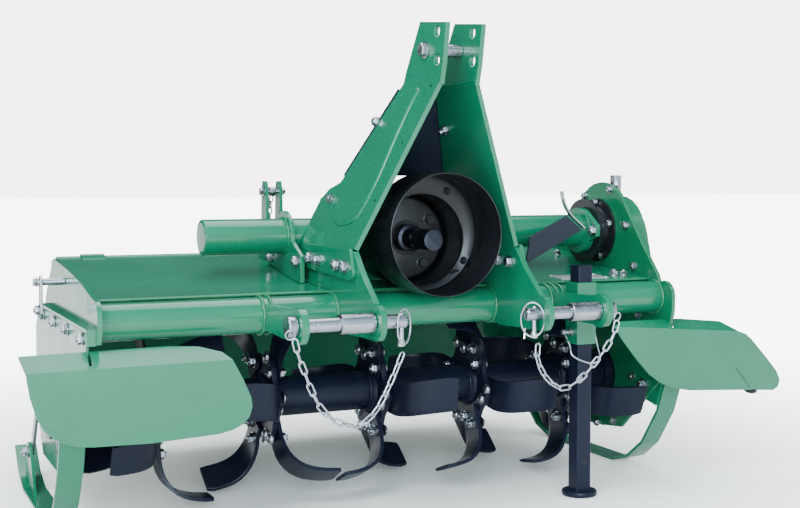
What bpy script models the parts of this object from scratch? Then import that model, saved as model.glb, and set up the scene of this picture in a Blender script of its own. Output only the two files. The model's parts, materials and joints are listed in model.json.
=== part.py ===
"""Rotary tiller for a small tractor: three-point hitch, side chain drive.

Working frame of this file: X across the machine (chain case at +X), Y fore and
aft (hitch at -Y), Z up, X = 0 on the input shaft, Y = 0 on the rotor axis,
Z = 0 on the ground.  The empty TILLER moves that frame so the bounding box is
centred on the origin.
"""
import math

import bmesh
import bpy
from mathutils import Matrix, Vector

# ---------------------------------------------------------------- dimensions
GAP = 0.0003            # clearance between pieces that touch
OFFSET = (-0.0458, -0.0376, 0.0)

ZR = 0.181              # rotor axis height
ZI = 0.472              # input shaft and upper tube axis height
YU = 0.015              # upper tube axis
YF, ZF = -0.176, 0.351  # front tube axis
R_TUBE = 0.030
R_UPPER = 0.032
X_LEFT = -0.552         # inner face of the left side plate
X_RIGHT = 0.508         # inner face of the chain case plate
T_SIDE = 0.008

ZP, YP = 0.351, -0.352  # lower hitch pin axis
R_PIN = 0.011
X_IN = 0.146            # inner face of the inner hitch plates
T_HITCH = 0.010
X_EYE_L = (-0.285, -0.273)
X_EYE_R = (0.262, 0.274)

Z_TOP = 0.811           # top link hole
Y_TOP = -0.330
G_MAST = 0.028          # half gap between the mast plates at the top
T_MAST = 0.008

Y_RIM = -0.2995         # open edge of the input shaft shield
R_SHIELD = 0.103
Z_SHIELD = 0.4830       # its drum sits a little above the shaft

LEG_X, LEG_Y = 0.307, -0.230
LEG_W = 0.030
SOCKET_W = 0.040

R_BLADE = 0.167
SET_X = (-0.428, -0.218, -0.008, 0.200, 0.400)
SET_TURN = (178, 150, 95, 100, 110)

# ------------------------------------------------------------------ set up
for old in list(bpy.data.objects):
    bpy.data.objects.remove(old, do_unlink=True)

parts = bpy.data.collections.new("rotary_tiller")
tools = bpy.data.collections.new("cutters")
bpy.context.scene.collection.children.link(parts)
bpy.context.scene.collection.children.link(tools)
root = bpy.data.objects.new("TILLER", None)
root.location = OFFSET
parts.objects.link(root)

GREEN = (0.030, 0.300, 0.120)
BLACK = (0.012, 0.013, 0.016)
NAVY = (0.014, 0.018, 0.030)
STEEL = (0.560, 0.570, 0.580)


def material(name, colour, rough, metal):
    m = bpy.data.materials.new(name)
    m.use_nodes = True
    b = m.node_tree.nodes["Principled BSDF"]
    b.inputs["Base Color"].default_value = (*colour, 1.0)
    b.inputs["Roughness"].default_value = rough
    b.inputs["Metallic"].default_value = metal
    return m


FINISH = {"green": (GREEN, 0.25, 0.0), "black": (BLACK, 0.35, 0.0),
          "navy": (NAVY, 0.35, 0.1), "steel": (STEEL, 0.30, 1.0)}


# --------------------------------------------------------------- modelling
def mesh_object(name, bm):
    bmesh.ops.recalc_face_normals(bm, faces=bm.faces)
    me = bpy.data.meshes.new(name)
    bm.to_mesh(me)
    bm.free()
    ob = bpy.data.objects.new(name, me)
    tools.objects.link(ob)
    return ob


def box(name, lo, hi, bevel=0.0):
    lo, hi = Vector(lo), Vector(hi)
    bm = bmesh.new()
    bmesh.ops.create_cube(bm, size=1.0)
    size = hi - lo
    bmesh.ops.scale(bm, vec=size, verts=bm.verts)
    bmesh.ops.translate(bm, vec=(lo + hi) / 2, verts=bm.verts)
    if bevel:
        bmesh.ops.bevel(bm, geom=list(bm.edges), offset=bevel, segments=1,
                        affect="EDGES", profile=0.5)
    return mesh_object(name, bm)


def rod(name, a, b, r, seg=24, r2=None, turn=0.0):
    """Round bar from a to b."""
    a, b = Vector(a), Vector(b)
    d = b - a
    bm = bmesh.new()
    bmesh.ops.create_cone(bm, cap_ends=True, cap_tris=False, segments=seg,
                          radius1=r, radius2=r if r2 is None else r2,
                          depth=d.length)
    q = d.to_track_quat("Z", "Y").to_matrix().to_4x4()
    m = Matrix.Translation((a + b) / 2) @ q @ Matrix.Rotation(turn, 4, "Z")
    bmesh.ops.transform(bm, matrix=m, verts=bm.verts)
    return mesh_object(name, bm)


AXES = {  # columns: where the outline's own x, y and normal go
    "X": Matrix(((0, 0, 1), (1, 0, 0), (0, 1, 0))),
    "Y": Matrix(((1, 0, 0), (0, 0, -1), (0, 1, 0))),
    "Z": Matrix(((1, 0, 0), (0, 1, 0), (0, 0, 1))),
}


def plate(name, pts, axis, t0, t1, matrix=None):
    """Flat outline pts, extruded along axis from t0 to t1."""
    cu = bpy.data.curves.new(name, "CURVE")
    cu.dimensions = "2D"
    cu.fill_mode = "BOTH"
    cu.extrude = abs(t1 - t0) / 2
    sp = cu.splines.new("POLY")
    sp.points.add(len(pts) - 1)
    for p, q in zip(sp.points, pts):
        p.co = (q[0], q[1], 0.0, 1.0)
    sp.use_cyclic_u = True
    raw = bpy.data.objects.new(name + "_outline", cu)
    tools.objects.link(raw)
    r = AXES[axis].to_4x4()
    n = Vector({"X": (1, 0, 0), "Y": (0, 1, 0), "Z": (0, 0, 1)}[axis])
    m = Matrix.Translation(n * (t0 + t1) / 2) @ r
    if matrix is not None:
        m = matrix @ m
    dg = bpy.context.evaluated_depsgraph_get()
    me = bpy.data.meshes.new_from_object(raw.evaluated_get(dg))
    bm = bmesh.new()
    bm.from_mesh(me)
    bmesh.ops.remove_doubles(bm, verts=bm.verts, dist=1e-6)
    bmesh.ops.transform(bm, matrix=m, verts=bm.verts)
    bpy.data.objects.remove(raw, do_unlink=True)
    bpy.data.curves.remove(cu)
    bpy.data.meshes.remove(me)
    return mesh_object(name, bm)


def band(path, t):
    """Outline of a strip of thickness t on the left of an open path."""
    pts = [Vector(p) for p in path]
    out = []
    for i, p in enumerate(pts):
        d0 = (p - pts[i - 1]).normalized() if i else None
        d1 = (pts[i + 1] - p).normalized() if i < len(pts) - 1 else None
        if d0 is None:
            n = Vector((-d1.y, d1.x)) * t
        elif d1 is None:
            n = Vector((-d0.y, d0.x)) * t
        else:
            b = (Vector((-d0.y, d0.x)) + Vector((-d1.y, d1.x))).normalized()
            n = b * (t / max(0.3, b.dot(Vector((-d0.y, d0.x)))))
        out.append(p + n)
    return [tuple(p) for p in pts] + [tuple(p) for p in reversed(out)]


def arc(cx, cy, r, a0, a1, n):
    return [(cx + r * math.cos(math.radians(a0 + (a1 - a0) * i / n)),
             cy + r * math.sin(math.radians(a0 + (a1 - a0) * i / n)))
            for i in range(n + 1)]


def combine(target, others, op):
    for o in others:
        m = target.modifiers.new(op.lower(), "BOOLEAN")
        m.operation = op
        m.solver = "EXACT"
        m.object = o
        dg = bpy.context.evaluated_depsgraph_get()
        me = bpy.data.meshes.new_from_object(target.evaluated_get(dg))
        target.modifiers.remove(m)
        target.data = me
        bpy.data.objects.remove(o, do_unlink=True)
    return target


def join(target, *others):
    return combine(target, others, "UNION")


def cut(target, *others):
    return combine(target, others, "DIFFERENCE")


def smooth(ob, angle=35.0):
    ob.data.shade_smooth()
    ob.data.set_sharp_from_angle(angle=math.radians(angle))


def finish(ob, name, look, pivot=(0.0, 0.0, 0.0)):
    """Name the piece, give it its colour and put its origin on its pivot."""
    ob.name = name
    ob.data.name = name
    ob.data.transform(Matrix.Translation(-Vector(pivot)))
    smooth(ob)
    ob.data.materials.clear()
    ob.data.materials.append(material(name + "_" + look, *FINISH[look]))
    tools.objects.unlink(ob)
    parts.objects.link(ob)
    ob.parent = root
    ob.location = pivot
    return ob


def ring(name, a, b, r_out, r_in, seg=32):
    a, b = Vector(a), Vector(b)
    d = (b - a).normalized() * 0.01
    return cut(rod(name, a, b, r_out, seg), rod("bore", a - d, b + d, r_in, seg))


# -------------------------------------------------------------- main frame
tube = rod("t", (X_LEFT + GAP, YF, ZF), (X_RIGHT - GAP, YF, ZF), R_TUBE, 32)
finish(tube, "front_tube", "green")

# hood: sheet from the front tube, over the rotor, to the rear hinge
HOOD_T = 0.004
hood_path = [(-0.166, 0.3825), (-0.040, 0.390), (0.150, 0.420), (0.205, 0.424)]
hood = plate("h", band(hood_path, HOOD_T), "X", X_LEFT + GAP, X_RIGHT - GAP)
finish(hood, "hood", "green")

# left side plate
LSP = ([(-0.224, 0.322), (-0.233, 0.350)] + arc(-0.206, 0.362, 0.0275, 165, 85, 4)
       + [(-0.150, 0.3985), (-0.095, 0.409), (0.000, 0.4195), (0.080, 0.4265), (0.165, 0.432),
          (0.185, 0.428), (0.235, 0.338), (0.235, 0.322)])
side = plate("l", LSP, "X", X_LEFT - T_SIDE, X_LEFT)
# shelf along its lower edge, to which the side panel is bolted
side = join(side, box("ls", (X_LEFT - 0.022, -0.214, 0.341), (X_LEFT - T_SIDE + 0.001, 0.235, 0.346)),
            box("lt", (X_LEFT - 0.022, -0.219, 0.320), (X_LEFT - T_SIDE + 0.001, -0.214 + 0.001, 0.346)))
finish(side, "left_side_plate", "green")

# side panel below it, set out by the shelf
X_PANEL = X_LEFT - 0.016
PANEL = [(-0.2055, 0.236), (-0.2055, 0.3405), (0.250, 0.3405), (0.300, 0.300),
         (0.310, 0.150), (0.240, 0.062), (-0.060, 0.062), (-0.160, 0.145), (-0.192, 0.215)]
panel = plate("lp", PANEL, "X", X_PANEL - 0.005, X_PANEL)
panel = cut(panel, rod("hub", (X_PANEL - 0.02, 0, ZR), (X_PANEL + 0.01, 0, ZR), 0.046, 32))
finish(panel, "left_side_panel", "green")

# left rotor bearing housing, outside the panel
x = X_PANEL - 0.005
bearing = join(rod("b", (x - 0.012, 0, ZR), (x - GAP, 0, ZR), 0.062, 32),
               rod("b2", (x - 0.030, 0, ZR), (x - 0.008, 0, ZR), 0.042, 32))
bearing = cut(bearing, rod("b3", (x - 0.020, 0, ZR), (x + 0.01, 0, ZR), 0.0255, 24))
finish(bearing, "left_rotor_bearing", "black")

# chain case: inner plate and outer cover
CASE_TOP, CASE_LOW = (0.005, ZI), (0.0, ZR)
case = (arc(0.005, ZI, 0.098, 10, 150, 11)
        + [(-0.130, 0.457), (-0.186, 0.393)] + arc(-0.206, 0.356, 0.0275, 60, 180, 5)
        + [(-0.2335, 0.330), (-0.204, 0.195), (-0.190, 0.183), (-0.072, 0.078), (0.000, 0.070),
           (0.060, 0.068), (0.240, 0.072), (0.310, 0.150), (0.300, 0.300), (0.240, 0.405),
           (0.205, 0.434), (0.125, 0.434)])
inner = plate("c", case, "X", X_RIGHT, X_RIGHT + T_SIDE)
inner = cut(inner, rod("c1", (0.49, YU, ZI), (0.53, YU, ZI), 0.036, 32),
            rod("c2", (0.49, 0, ZR), (0.53, 0, ZR), 0.050, 32))
finish(inner, "chain_case_plate", "green")


def inset(pts, centre, k):
    return [(centre[0] + (p[0] - centre[0]) * k, centre[1] + (p[1] - centre[1]) * k)
            for p in pts]


cover_pts = (arc(0.005, ZI, 0.086, 8, 165, 10)
             + [(-0.105, 0.400), (-0.112, 0.300)]
             + arc(0.0, ZR, 0.102, 200, 340, 10)
             + [(0.105, 0.300), (0.100, 0.400)])
x0 = X_RIGHT + T_SIDE + GAP
flange = (arc(0.005, ZI, 0.0955, 8, 165, 12) + [(-0.112, 0.400), (-0.121, 0.300)]
          + arc(0.0, ZR, 0.112, 200, 340, 12) + [(0.115, 0.300), (0.109, 0.400)])
cover = join(plate("k0", flange, "X", x0, x0 + 0.004),
             plate("k", inset(cover_pts, (0.0, 0.32), 0.93), "X", x0 + 0.002, x0 + 0.046),
             plate("k2", inset(cover_pts, (0.0, 0.32), 0.86), "X", x0 + 0.04, x0 + 0.056))
finish(cover, "chain_case_cover", "green")

plug = join(rod("p", (0.532, -0.012, ZI + 0.0700), (0.532, -0.012, ZI + 0.100), 0.011, 16),
            box("p1", (0.524, -0.020, ZI + 0.099), (0.540, -0.004, ZI + 0.112)))
finish(plug, "chain_case_filler_plug", "steel")

# upper tubes, gearbox and support clamp
stub = rod("s", (-0.329, YU, ZI), (-0.075 - GAP, YU, ZI), R_UPPER, 32)
finish(stub, "left_upper_tube", "green")
drive = join(rod("d", (0.075 + GAP, YU, ZI), (0.462, YU, ZI), R_UPPER, 32),
             rod("d1", (0.455, YU, ZI), (0.470, YU, ZI), 0.046, 32))
drive = join(drive, plate("d2", [(-0.052, ZI - 0.010), (-0.052, ZI + 0.012), (-0.010, ZI + 0.042),
                                 (0.072, ZI + 0.020), (0.072, ZI - 0.020), (0.02, ZI - 0.040)],
                          "X", 0.458, 0.468))
finish(drive, "drive_shaft_tube", "green")
disc = ring("e", (0.470 + GAP, YU, ZI), (X_RIGHT - GAP, YU, ZI), 0.064, 0.024, 40)
finish(disc, "drive_bearing_flange", "black")

gear = box("g", (-0.075, -0.085, 0.4225), (0.075, 0.105, 0.545), 0.010)
gear = join(gear, rod("g1", (0, -0.137, ZI), (0, -0.080, ZI), 0.0735, 40),
            rod("g2", (0, 0.100, ZI), (0, 0.118, ZI), 0.050, 32))
gear = cut(gear, rod("g3", (0, -0.150, ZI), (0, -0.095, ZI), 0.0205, 24))
finish(gear, "gearbox", "black")
foot = plate("gf", [(-0.075, 0.3925), (-0.040, 0.3947), (0.095, 0.4162), (0.095, 0.4222), (-0.075, 0.4222)],
             "X", -0.070, 0.070)
finish(foot, "gearbox_base", "green")

clamp = [(-0.040, 0.3947), (-0.078, 0.3925), (-0.078, 0.440)] + arc(YU, ZI, 0.046, 190, -10, 12) \
    + [(0.100, 0.440), (0.100, 0.4170)]
for s, nm in ((-1, "left_upper_tube_clamp"), (1, "right_upper_tube_clamp")):
    xa, xb = sorted((s * 0.168, s * 0.176))
    c = plate("u", clamp, "X", xa, xb)
    c = cut(c, rod("uc", (xa - 0.01, YU, ZI), (xb + 0.01, YU, ZI), R_UPPER + GAP, 32))
    finish(c, nm, "green")

# input shaft shield: open drum, closed at the back round the shaft
shield = cut(rod("q", (0, Y_RIM, Z_SHIELD), (0, -0.208, Z_SHIELD), R_SHIELD, 48),
             rod("q1", (0, Y_RIM - 0.01, Z_SHIELD), (0, -0.212, Z_SHIELD), R_SHIELD - 0.003, 48))
shield = join(shield, rod("q2", (0, -0.210, ZI), (0, -0.0855, ZI), 0.0805, 48))
shield = cut(shield, rod("q3", (0, -0.220, ZI), (0, -0.080, ZI), 0.0775, 48))
finish(shield, "input_shaft_shield", "black")

shaft = join(rod("i", (0, -0.249, ZI), (0, -0.100, ZI), 0.0175, 24),
             rod("i1", (0, -0.157, ZI), (0, -0.1375, ZI), 0.024, 24))
finish(shaft, "input_shaft", "steel", (0, -0.18, ZI))

# ------------------------------------------------------------------- mast
Z_BEND, X_LOW, Z_LOW = 0.730, 0.146, 0.458


def mast(s, name):
    """Upright plate of the top mast: straight at the top, leaning out below."""
    top = [(-0.268, 0.833), (-0.363, 0.822), (-0.352, 0.760), (-0.342, Z_BEND - 0.004),
           (-0.199, Z_BEND - 0.004), (-0.215, 0.756)]
    xa, xb = sorted((s * G_MAST, s * (G_MAST + T_MAST)))
    up = plate("m", top, "X", xa, xb)
    # sloping panel, drawn flat and leaned out about its top edge
    slope = math.atan2(X_LOW - G_MAST, Z_BEND - Z_LOW)
    length = (Z_BEND - Z_LOW) / math.cos(slope)
    c = math.cos(slope)
    pan = [(-0.342, 0.004), (-0.199, 0.004), (-0.0925, (0.5665 - Z_BEND) / c), (-0.052, (0.555 - Z_BEND) / c),
           (-0.030, (0.536 - Z_BEND) / c), (-0.020, (0.505 - Z_BEND) / c), (-0.024, -length), (-0.268, -length)]
    xc, xd = (0.0, T_MAST) if s > 0 else (-T_MAST, 0.0)
    lean = Matrix.Translation((s * G_MAST, 0, Z_BEND)) @ Matrix.Rotation(-s * slope, 4, "Y")
    low = plate("m2", pan, "X", xc, xd, lean)
    ob = join(up, low)
    for z in (Z_TOP, Z_TOP - 0.045):
        ob = cut(ob, rod("mh", (xa - 0.01, Y_TOP, z), (xb + 0.01, Y_TOP, z), 0.0100, 24))
    return finish(ob, name, "green")


mast(-1, "left_mast_plate")
mast(1, "right_mast_plate")

spacer = rod("sp", (-G_MAST + GAP, -0.290, 0.785), (G_MAST - GAP, -0.290, 0.785), 0.011, 20)
finish(spacer, "top_link_spacer", "steel")

# panel across the back of the mast, lying on the plates' sloping rear edges
z_rear = Z_BEND + 0.004 * math.cos(math.atan2(X_LOW - G_MAST, Z_BEND - Z_LOW))
rake = math.atan2(-0.020 + 0.199, z_rear - Z_LOW)
rear = plate("r", [(-0.040, -0.010), (0.040, -0.010), (0.1015, -0.184), (-0.1015, -0.184)],
             "Y", 0.0024, 0.0060,
             Matrix.Translation((0, -0.199, z_rear)) @ Matrix.Rotation(rake, 4, "X"))
finish(rear, "mast_rear_panel", "navy")

# --------------------------------------------------------- hitch brackets
hitch = [(-0.268, Z_LOW - GAP), (-0.300, 0.424), (-0.352, 0.381)] \
    + arc(YP, ZP, 0.031, 110, 250, 8) \
    + [(-0.300, 0.322), (-0.215, 0.318), (-0.180, 0.330), (-0.170, 0.3735), (-0.1685, 0.3872),
       (-0.120, 0.3902), (-0.040, 0.3947), (0.058, 0.4105), (0.058, 0.4370), (-0.012, 0.4370),
       (-0.024, Z_LOW - GAP)]
for s, nm in ((-1, "left_hitch_plate"), (1, "right_hitch_plate")):
    xa, xb = sorted((s * X_IN, s * (X_IN + T_HITCH)))
    h = plate("hp", hitch, "X", xa, xb)
    h = cut(h, rod("hp1", (xa - 0.01, YF, ZF), (xb + 0.01, YF, ZF), R_TUBE + GAP, 32),
            rod("hp2", (xa - 0.01, YP, ZP), (xb + 0.01, YP, ZP), R_PIN + GAP, 24))
    finish(h, nm, "green")

eye = arc(YP, ZP, 0.029, 60, 300, 12) + [(-0.290, 0.326), (-0.215, 0.330), (-0.180, 0.335),
                                       (-0.180, 0.367), (-0.215, 0.372), (-0.290, 0.374)]
for (xa, xb), nm in ((X_EYE_L, "left_outer_eye_plate"), (X_EYE_R, "right_outer_eye_plate")):
    h = plate("ep", eye, "X", xa, xb)
    h = cut(h, rod("ep1", (xa - 0.01, YF, ZF), (xb + 0.01, YF, ZF), R_TUBE + GAP, 32),
            rod("ep2", (xa - 0.01, YP, ZP), (xb + 0.01, YP, ZP), R_PIN + GAP, 24))
    finish(h, nm, "green")

for head, tip, s, nm in ((X_EYE_L[0], -0.100, 1, "left_hitch_pin"), (X_EYE_R[1], 0.118, -1, "right_hitch_pin")):
    p = join(rod("hp", (head - s * 0.002, YP, ZP), (tip, YP, ZP), R_PIN, 24),
             rod("hh", (head - s * 0.016, YP, ZP), (head - s * GAP, YP, ZP), 0.0165, 24))
    finish(p, nm, "steel")
for xa, xb, nm in ((-0.214, -0.157, "left_hitch_sleeve"), (0.205, 0.2615, "right_hitch_sleeve")):
    finish(ring("hs", (xa, YP, ZP), (xb, YP, ZP), 0.016, R_PIN + GAP, 24), nm, "steel")

# chain from each pin's head to its lynch pin: a slack curve through these points
CHAIN_L = [(-0.296, -0.3765, 0.334), (-0.291, -0.377, 0.312), (-0.283, -0.378, 0.290),
           (-0.266, -0.378, 0.248), (-0.245, -0.378, 0.217), (-0.214, -0.377, 0.199),
           (-0.187, -0.375, 0.198), (-0.158, -0.372, 0.220), (-0.130, -0.369, 0.268),
           (-0.113, -0.366, 0.302)]
CHAIN_R = [(0.284, -0.3765, 0.334), (0.272, -0.378, 0.305), (0.245, -0.378, 0.273),
           (0.209, -0.377, 0.240), (0.176, -0.375, 0.228), (0.148, -0.372, 0.246),
           (0.133, -0.369, 0.276), (0.134, -0.366, 0.302)]
R_CHAIN = 0.0032


def smooth_points(pts, step):
    """Points at about that spacing on a Catmull-Rom curve through pts."""
    p = [Vector(q) for q in pts]
    p = [p[0] * 2 - p[1]] + p + [p[-1] * 2 - p[-2]]
    out = []
    for i in range(1, len(p) - 2):
        n = max(1, round((p[i + 1] - p[i]).length / step))
        for k in range(n):
            t = k / n
            out.append(0.5 * (2 * p[i] + (p[i + 1] - p[i - 1]) * t
                              + (2 * p[i - 1] - 5 * p[i] + 4 * p[i + 1] - p[i + 2]) * t * t
                              + (3 * p[i] - p[i - 1] - 3 * p[i + 1] + p[i + 2]) * t ** 3))
    return out + [p[-2]]


def cord(name, pts, r, step):
    cu = bpy.data.curves.new(name, "CURVE")
    cu.dimensions = "3D"
    cu.bevel_depth = r
    cu.bevel_resolution = 2
    cu.use_fill_caps = True
    q = smooth_points(pts, step)
    sp = cu.splines.new("POLY")
    sp.points.add(len(q) - 1)
    for a, b in zip(sp.points, q):
        a.co = (*b, 1.0)
    raw = bpy.data.objects.new(name + "_line", cu)
    tools.objects.link(raw)
    me = bpy.data.meshes.new_from_object(raw.evaluated_get(bpy.context.evaluated_depsgraph_get()))
    bm = bmesh.new()
    bm.from_mesh(me)
    bmesh.ops.remove_doubles(bm, verts=bm.verts, dist=1e-6)
    bpy.data.objects.remove(raw, do_unlink=True)
    return mesh_object(name, bm)


finish(cord("cl", CHAIN_L, R_CHAIN, 0.016), "left_pin_chain", "steel")
finish(cord("cr", CHAIN_R, R_CHAIN, 0.016), "right_pin_chain", "steel")

# lynch pins: a short peg through the hitch pin's end
for x, nm in ((-0.109, "left_lynch_pin"), (0.135, "right_lynch_pin")):
    k = join(rod("ly", (x, YP, ZP - 0.040), (x, YP, ZP - R_PIN - GAP), 0.0045, 12),
             rod("lz", (x, YP, ZP - 0.040), (x, YP, ZP - 0.030), 0.0065, 12))
    finish(k, nm, "steel")

# ----------------------------------------------------------- parking stand
w = SOCKET_W / 2
socket = box("so", (LEG_X - w, LEG_Y - w, 0.278), (LEG_X + w, LEG_Y + w, 0.390))
v = LEG_W / 2 + 0.0008
socket = cut(socket, box("so1", (LEG_X - v, LEG_Y - v, 0.26), (LEG_X + v, LEG_Y + v, 0.40)),
             rod("so2", (0.20, YF, ZF), (0.42, YF, ZF), R_TUBE + GAP, 32))
finish(socket, "stand_socket", "green")
lock = join(rod("lk", (LEG_X - w - 0.020, LEG_Y, 0.300), (LEG_X - w - GAP, LEG_Y, 0.300), 0.0045, 12),
            rod("lk1", (LEG_X - w - 0.006, LEG_Y, 0.300), (LEG_X - w - GAP, LEG_Y, 0.300), 0.0075, 12))
finish(lock, "stand_lock_pin", "steel")

v = LEG_W / 2
leg = box("le", (LEG_X - v, LEG_Y - v, 0.008), (LEG_X + v, LEG_Y + v, 0.420))
leg = cut(leg, box("le1", (LEG_X - v + 0.004, LEG_Y - v + 0.004, 0.30),
                   (LEG_X + v - 0.004, LEG_Y + v - 0.004, 0.43)))
leg = join(leg, rod("le2", (LEG_X, LEG_Y, 0.0), (LEG_X, LEG_Y, 0.010), 0.032, 32))
finish(leg, "stand_leg", "navy", (LEG_X, LEG_Y, 0.0))

# ------------------------------------------------------------------ rotor
rot = Vector((0, 0, ZR))
shaft_len = join(rod("ro", (-0.530, 0, ZR), (0.498, 0, ZR), 0.036, 32),
                 rod("ro1", (-0.588, 0, ZR), (-0.525, 0, ZR), 0.0225, 24))
shaft_len = join(shaft_len, rod("ro2", (0.490, 0, ZR), (0.514, 0, ZR), 0.046, 32))
finish(shaft_len, "rotor_shaft", "navy", rot)


def blade(x, s, angle, name):
    """One L-shaped blade: flat leg on the flange, tip turned along the shaft."""
    path = [(x, 0.045), (x, 0.088), (x + s * 0.004, 0.110), (x + s * 0.013, 0.131),
            (x + s * 0.028, 0.148), (x + s * 0.048, 0.159), (x + s * 0.070, 0.165), (x + s * 0.093, R_BLADE)]
    if s > 0:
        out = band(path, -0.007)
    else:
        out = band(path, 0.007)
    b = plate(name, out, "Y", -0.030, 0.030)
    # sweep the outer end back like a sickle and narrow the tip
    for vt in b.data.vertices:
        k = max(0.0, (vt.co.z - 0.06) / 0.11)
        vt.co.y = vt.co.y * (1.0 + 0.05 * k) + 0.024 * k * k
    b.data.transform(Matrix.Translation(rot) @ Matrix.Rotation(math.radians(angle), 4, "X"))
    return b


for n, (x, turn) in enumerate(zip(SET_X, SET_TURN)):
    hub = ring("rf", (x - 0.006, 0, ZR), (x + 0.006, 0, ZR), 0.072, 0.036 + GAP, 32)
    for k in range(6):
        s = -1 if k % 2 else 1
        hub = join(hub, blade(x + s * 0.004, s, turn + 60 * k, "bl"))
    finish(hub, "blade_set_%d" % (n + 1), "navy", rot)

# --------------------------------------------------------------- rear board
YH, ZH = 0.222, 0.424
BXL, BXR = X_LEFT + 0.006, X_RIGHT - 0.006
board_path = [(YH + 0.004, ZH - 0.002), (0.285, 0.400), (0.345, 0.350), (0.395, 0.250),
              (0.425, 0.150), (0.455, 0.112)]
board = plate("rb", band(board_path, 0.004), "X", BXL, BXR)
board = join(board, rod("rb1", (BXL, YH, ZH), (BXR, YH, ZH), 0.0085, 16))
cheek = [(0.262, 0.4105), (0.2862, 0.4018), (0.3468, 0.3515), (0.3970, 0.2508), (0.4268, 0.1508),
         (0.372, 0.185), (0.330, 0.300)]
for xa in (BXL, BXR - 0.004):
    board = join(board, plate("rb2", cheek, "X", xa, xa + 0.004))
# lug that the hold-up chain hooks to
board = join(board, plate("rb3", [(0.296, 0.388), (0.306, 0.418), (0.318, 0.418), (0.338, 0.354)],
                          "X", -0.153, -0.147))
finish(board, "rear_board", "green", (0, YH, ZH))

# twin-ear bracket on the hood that holds up the rear board's chain
ears = plate("ea", [(0.128, 0.4212), (0.150, 0.4248), (0.172, 0.4264), (0.172, 0.4310), (0.128, 0.4270)],
             "X", -0.171, -0.129)
for xa in (-0.167, -0.139):
    ears = join(ears, plate("eb", [(0.130, 0.4262), (0.170, 0.4295), (0.163, 0.556), (0.158, 0.572),
                                   (0.142, 0.572), (0.137, 0.556)], "X", xa, xa + 0.006))
finish(ears, "rear_board_bracket", "green")

# ------------------------------------------------------------------- skids
skid = ([(-0.214, 0.262), (-0.205, 0.200), (-0.176, 0.125), (-0.128, 0.055), (-0.080, 0.018),
         (-0.025, 0.0), (0.215, 0.0), (0.275, 0.020), (0.325, 0.062)])
front_lug = [(-0.208, 0.262), (-0.199, 0.200), (-0.176, 0.138), (-0.120, 0.150), (-0.120, 0.262)]
mid_lug = [(0.150, 0.003), (0.250, 0.008), (0.236, 0.085), (0.216, 0.092), (0.196, 0.085)]
rear_lug = [(0.240, 0.008), (0.275, 0.022), (0.312, 0.054), (0.300, 0.088), (0.270, 0.092), (0.245, 0.070)]
XA = X_RIGHT + T_SIDE + GAP
for xs, lug, nm in ((X_PANEL - 0.045, (X_PANEL - 0.0103, X_PANEL - 0.0053), "left_skid"),
                    (XA + 0.004, (XA, XA + 0.006), "right_skid")):
    k = plate("sk", band(skid, 0.006), "X", xs, xs + 0.040)
    k = join(k, plate("sk1", front_lug, "X", *lug))
    rl = (xs + 0.010, xs + 0.015)
    k = join(k, plate("sk2", rear_lug if nm.startswith("right") else mid_lug, "X", *rl))
    finish(k, nm, "green")

# depth straps from the skids' rear lugs up to the sides
for xs, low, top, nm in ((X_PANEL - 0.035 + 0.005 + GAP, (0.215, 0.074), (0.130, 0.190), "left_skid_strap"),
                         (XA + 0.014 + 0.005 + GAP, (0.270, 0.062), (0.270, 0.322), "right_skid_strap")):
    a, b = Vector(low), Vector(top)
    t = (b - a).normalized() * 0.009
    n = Vector((-t.y, t.x))
    st = plate("st", [tuple(p) for p in (a - n, a - t * 0.8, a + n, b + n, b + t * 0.8, b - n)],
               "X", xs, xs + 0.005)
    if nm.startswith("left"):
        st = join(st, rod("st1", (xs + 0.001, top[0], top[1]), (X_PANEL - 0.005 - GAP, top[0], top[1]), 0.008, 16))
    finish(st, nm, "steel")
# short strap hung on a pin through the upper left side
hang = plate("ha", [(0.038, 0.346), (0.047, 0.338), (0.056, 0.346), (0.056, 0.404), (0.047, 0.412), (0.038, 0.404)],
             "X", -0.603, -0.598)
hang = join(hang, rod("ha1", (-0.606, 0.047, 0.400), (X_LEFT - T_SIDE - GAP, 0.047, 0.400), 0.006, 16))
finish(hang, "left_hanger_strap", "steel")
arm = join(box("ac", (XA, 0.256, 0.300), (XA + 0.0190, 0.284, 0.306)),
           plate("ad", [(0.215, 0.230), (0.286, 0.230), (0.286, 0.320), (0.215, 0.320)], "X", XA, XA + 0.005))
finish(arm, "right_strap_bracket", "green")

# ------------------------------------------------------------ front guards
Y_GUARD = -0.238
LEFT_FACE = [(-0.667, 0.288), (-0.665, 0.271), (-0.661, 0.249), (-0.653, 0.221), (-0.643, 0.202),
             (-0.630, 0.189), (-0.612, 0.178), (-0.592, 0.172), (-0.570, 0.170), (-0.483, 0.168),
             (-0.375, 0.173), (-0.350, 0.178), (-0.334, 0.186), (-0.324, 0.197), (-0.319, 0.213),
             (-0.321, 0.228), (-0.333, 0.256), (-0.351, 0.290)]
RIGHT_FACE = [(0.372, 0.306), (0.394, 0.276), (0.424, 0.241), (0.452, 0.212), (0.479, 0.194),
              (0.507, 0.183), (0.545, 0.176), (0.669, 0.168), (0.748, 0.162), (0.760, 0.168),
              (0.765, 0.182), (0.755, 0.201), (0.730, 0.228), (0.692, 0.266), (0.678, 0.277),
              (0.660, 0.283)]


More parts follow.
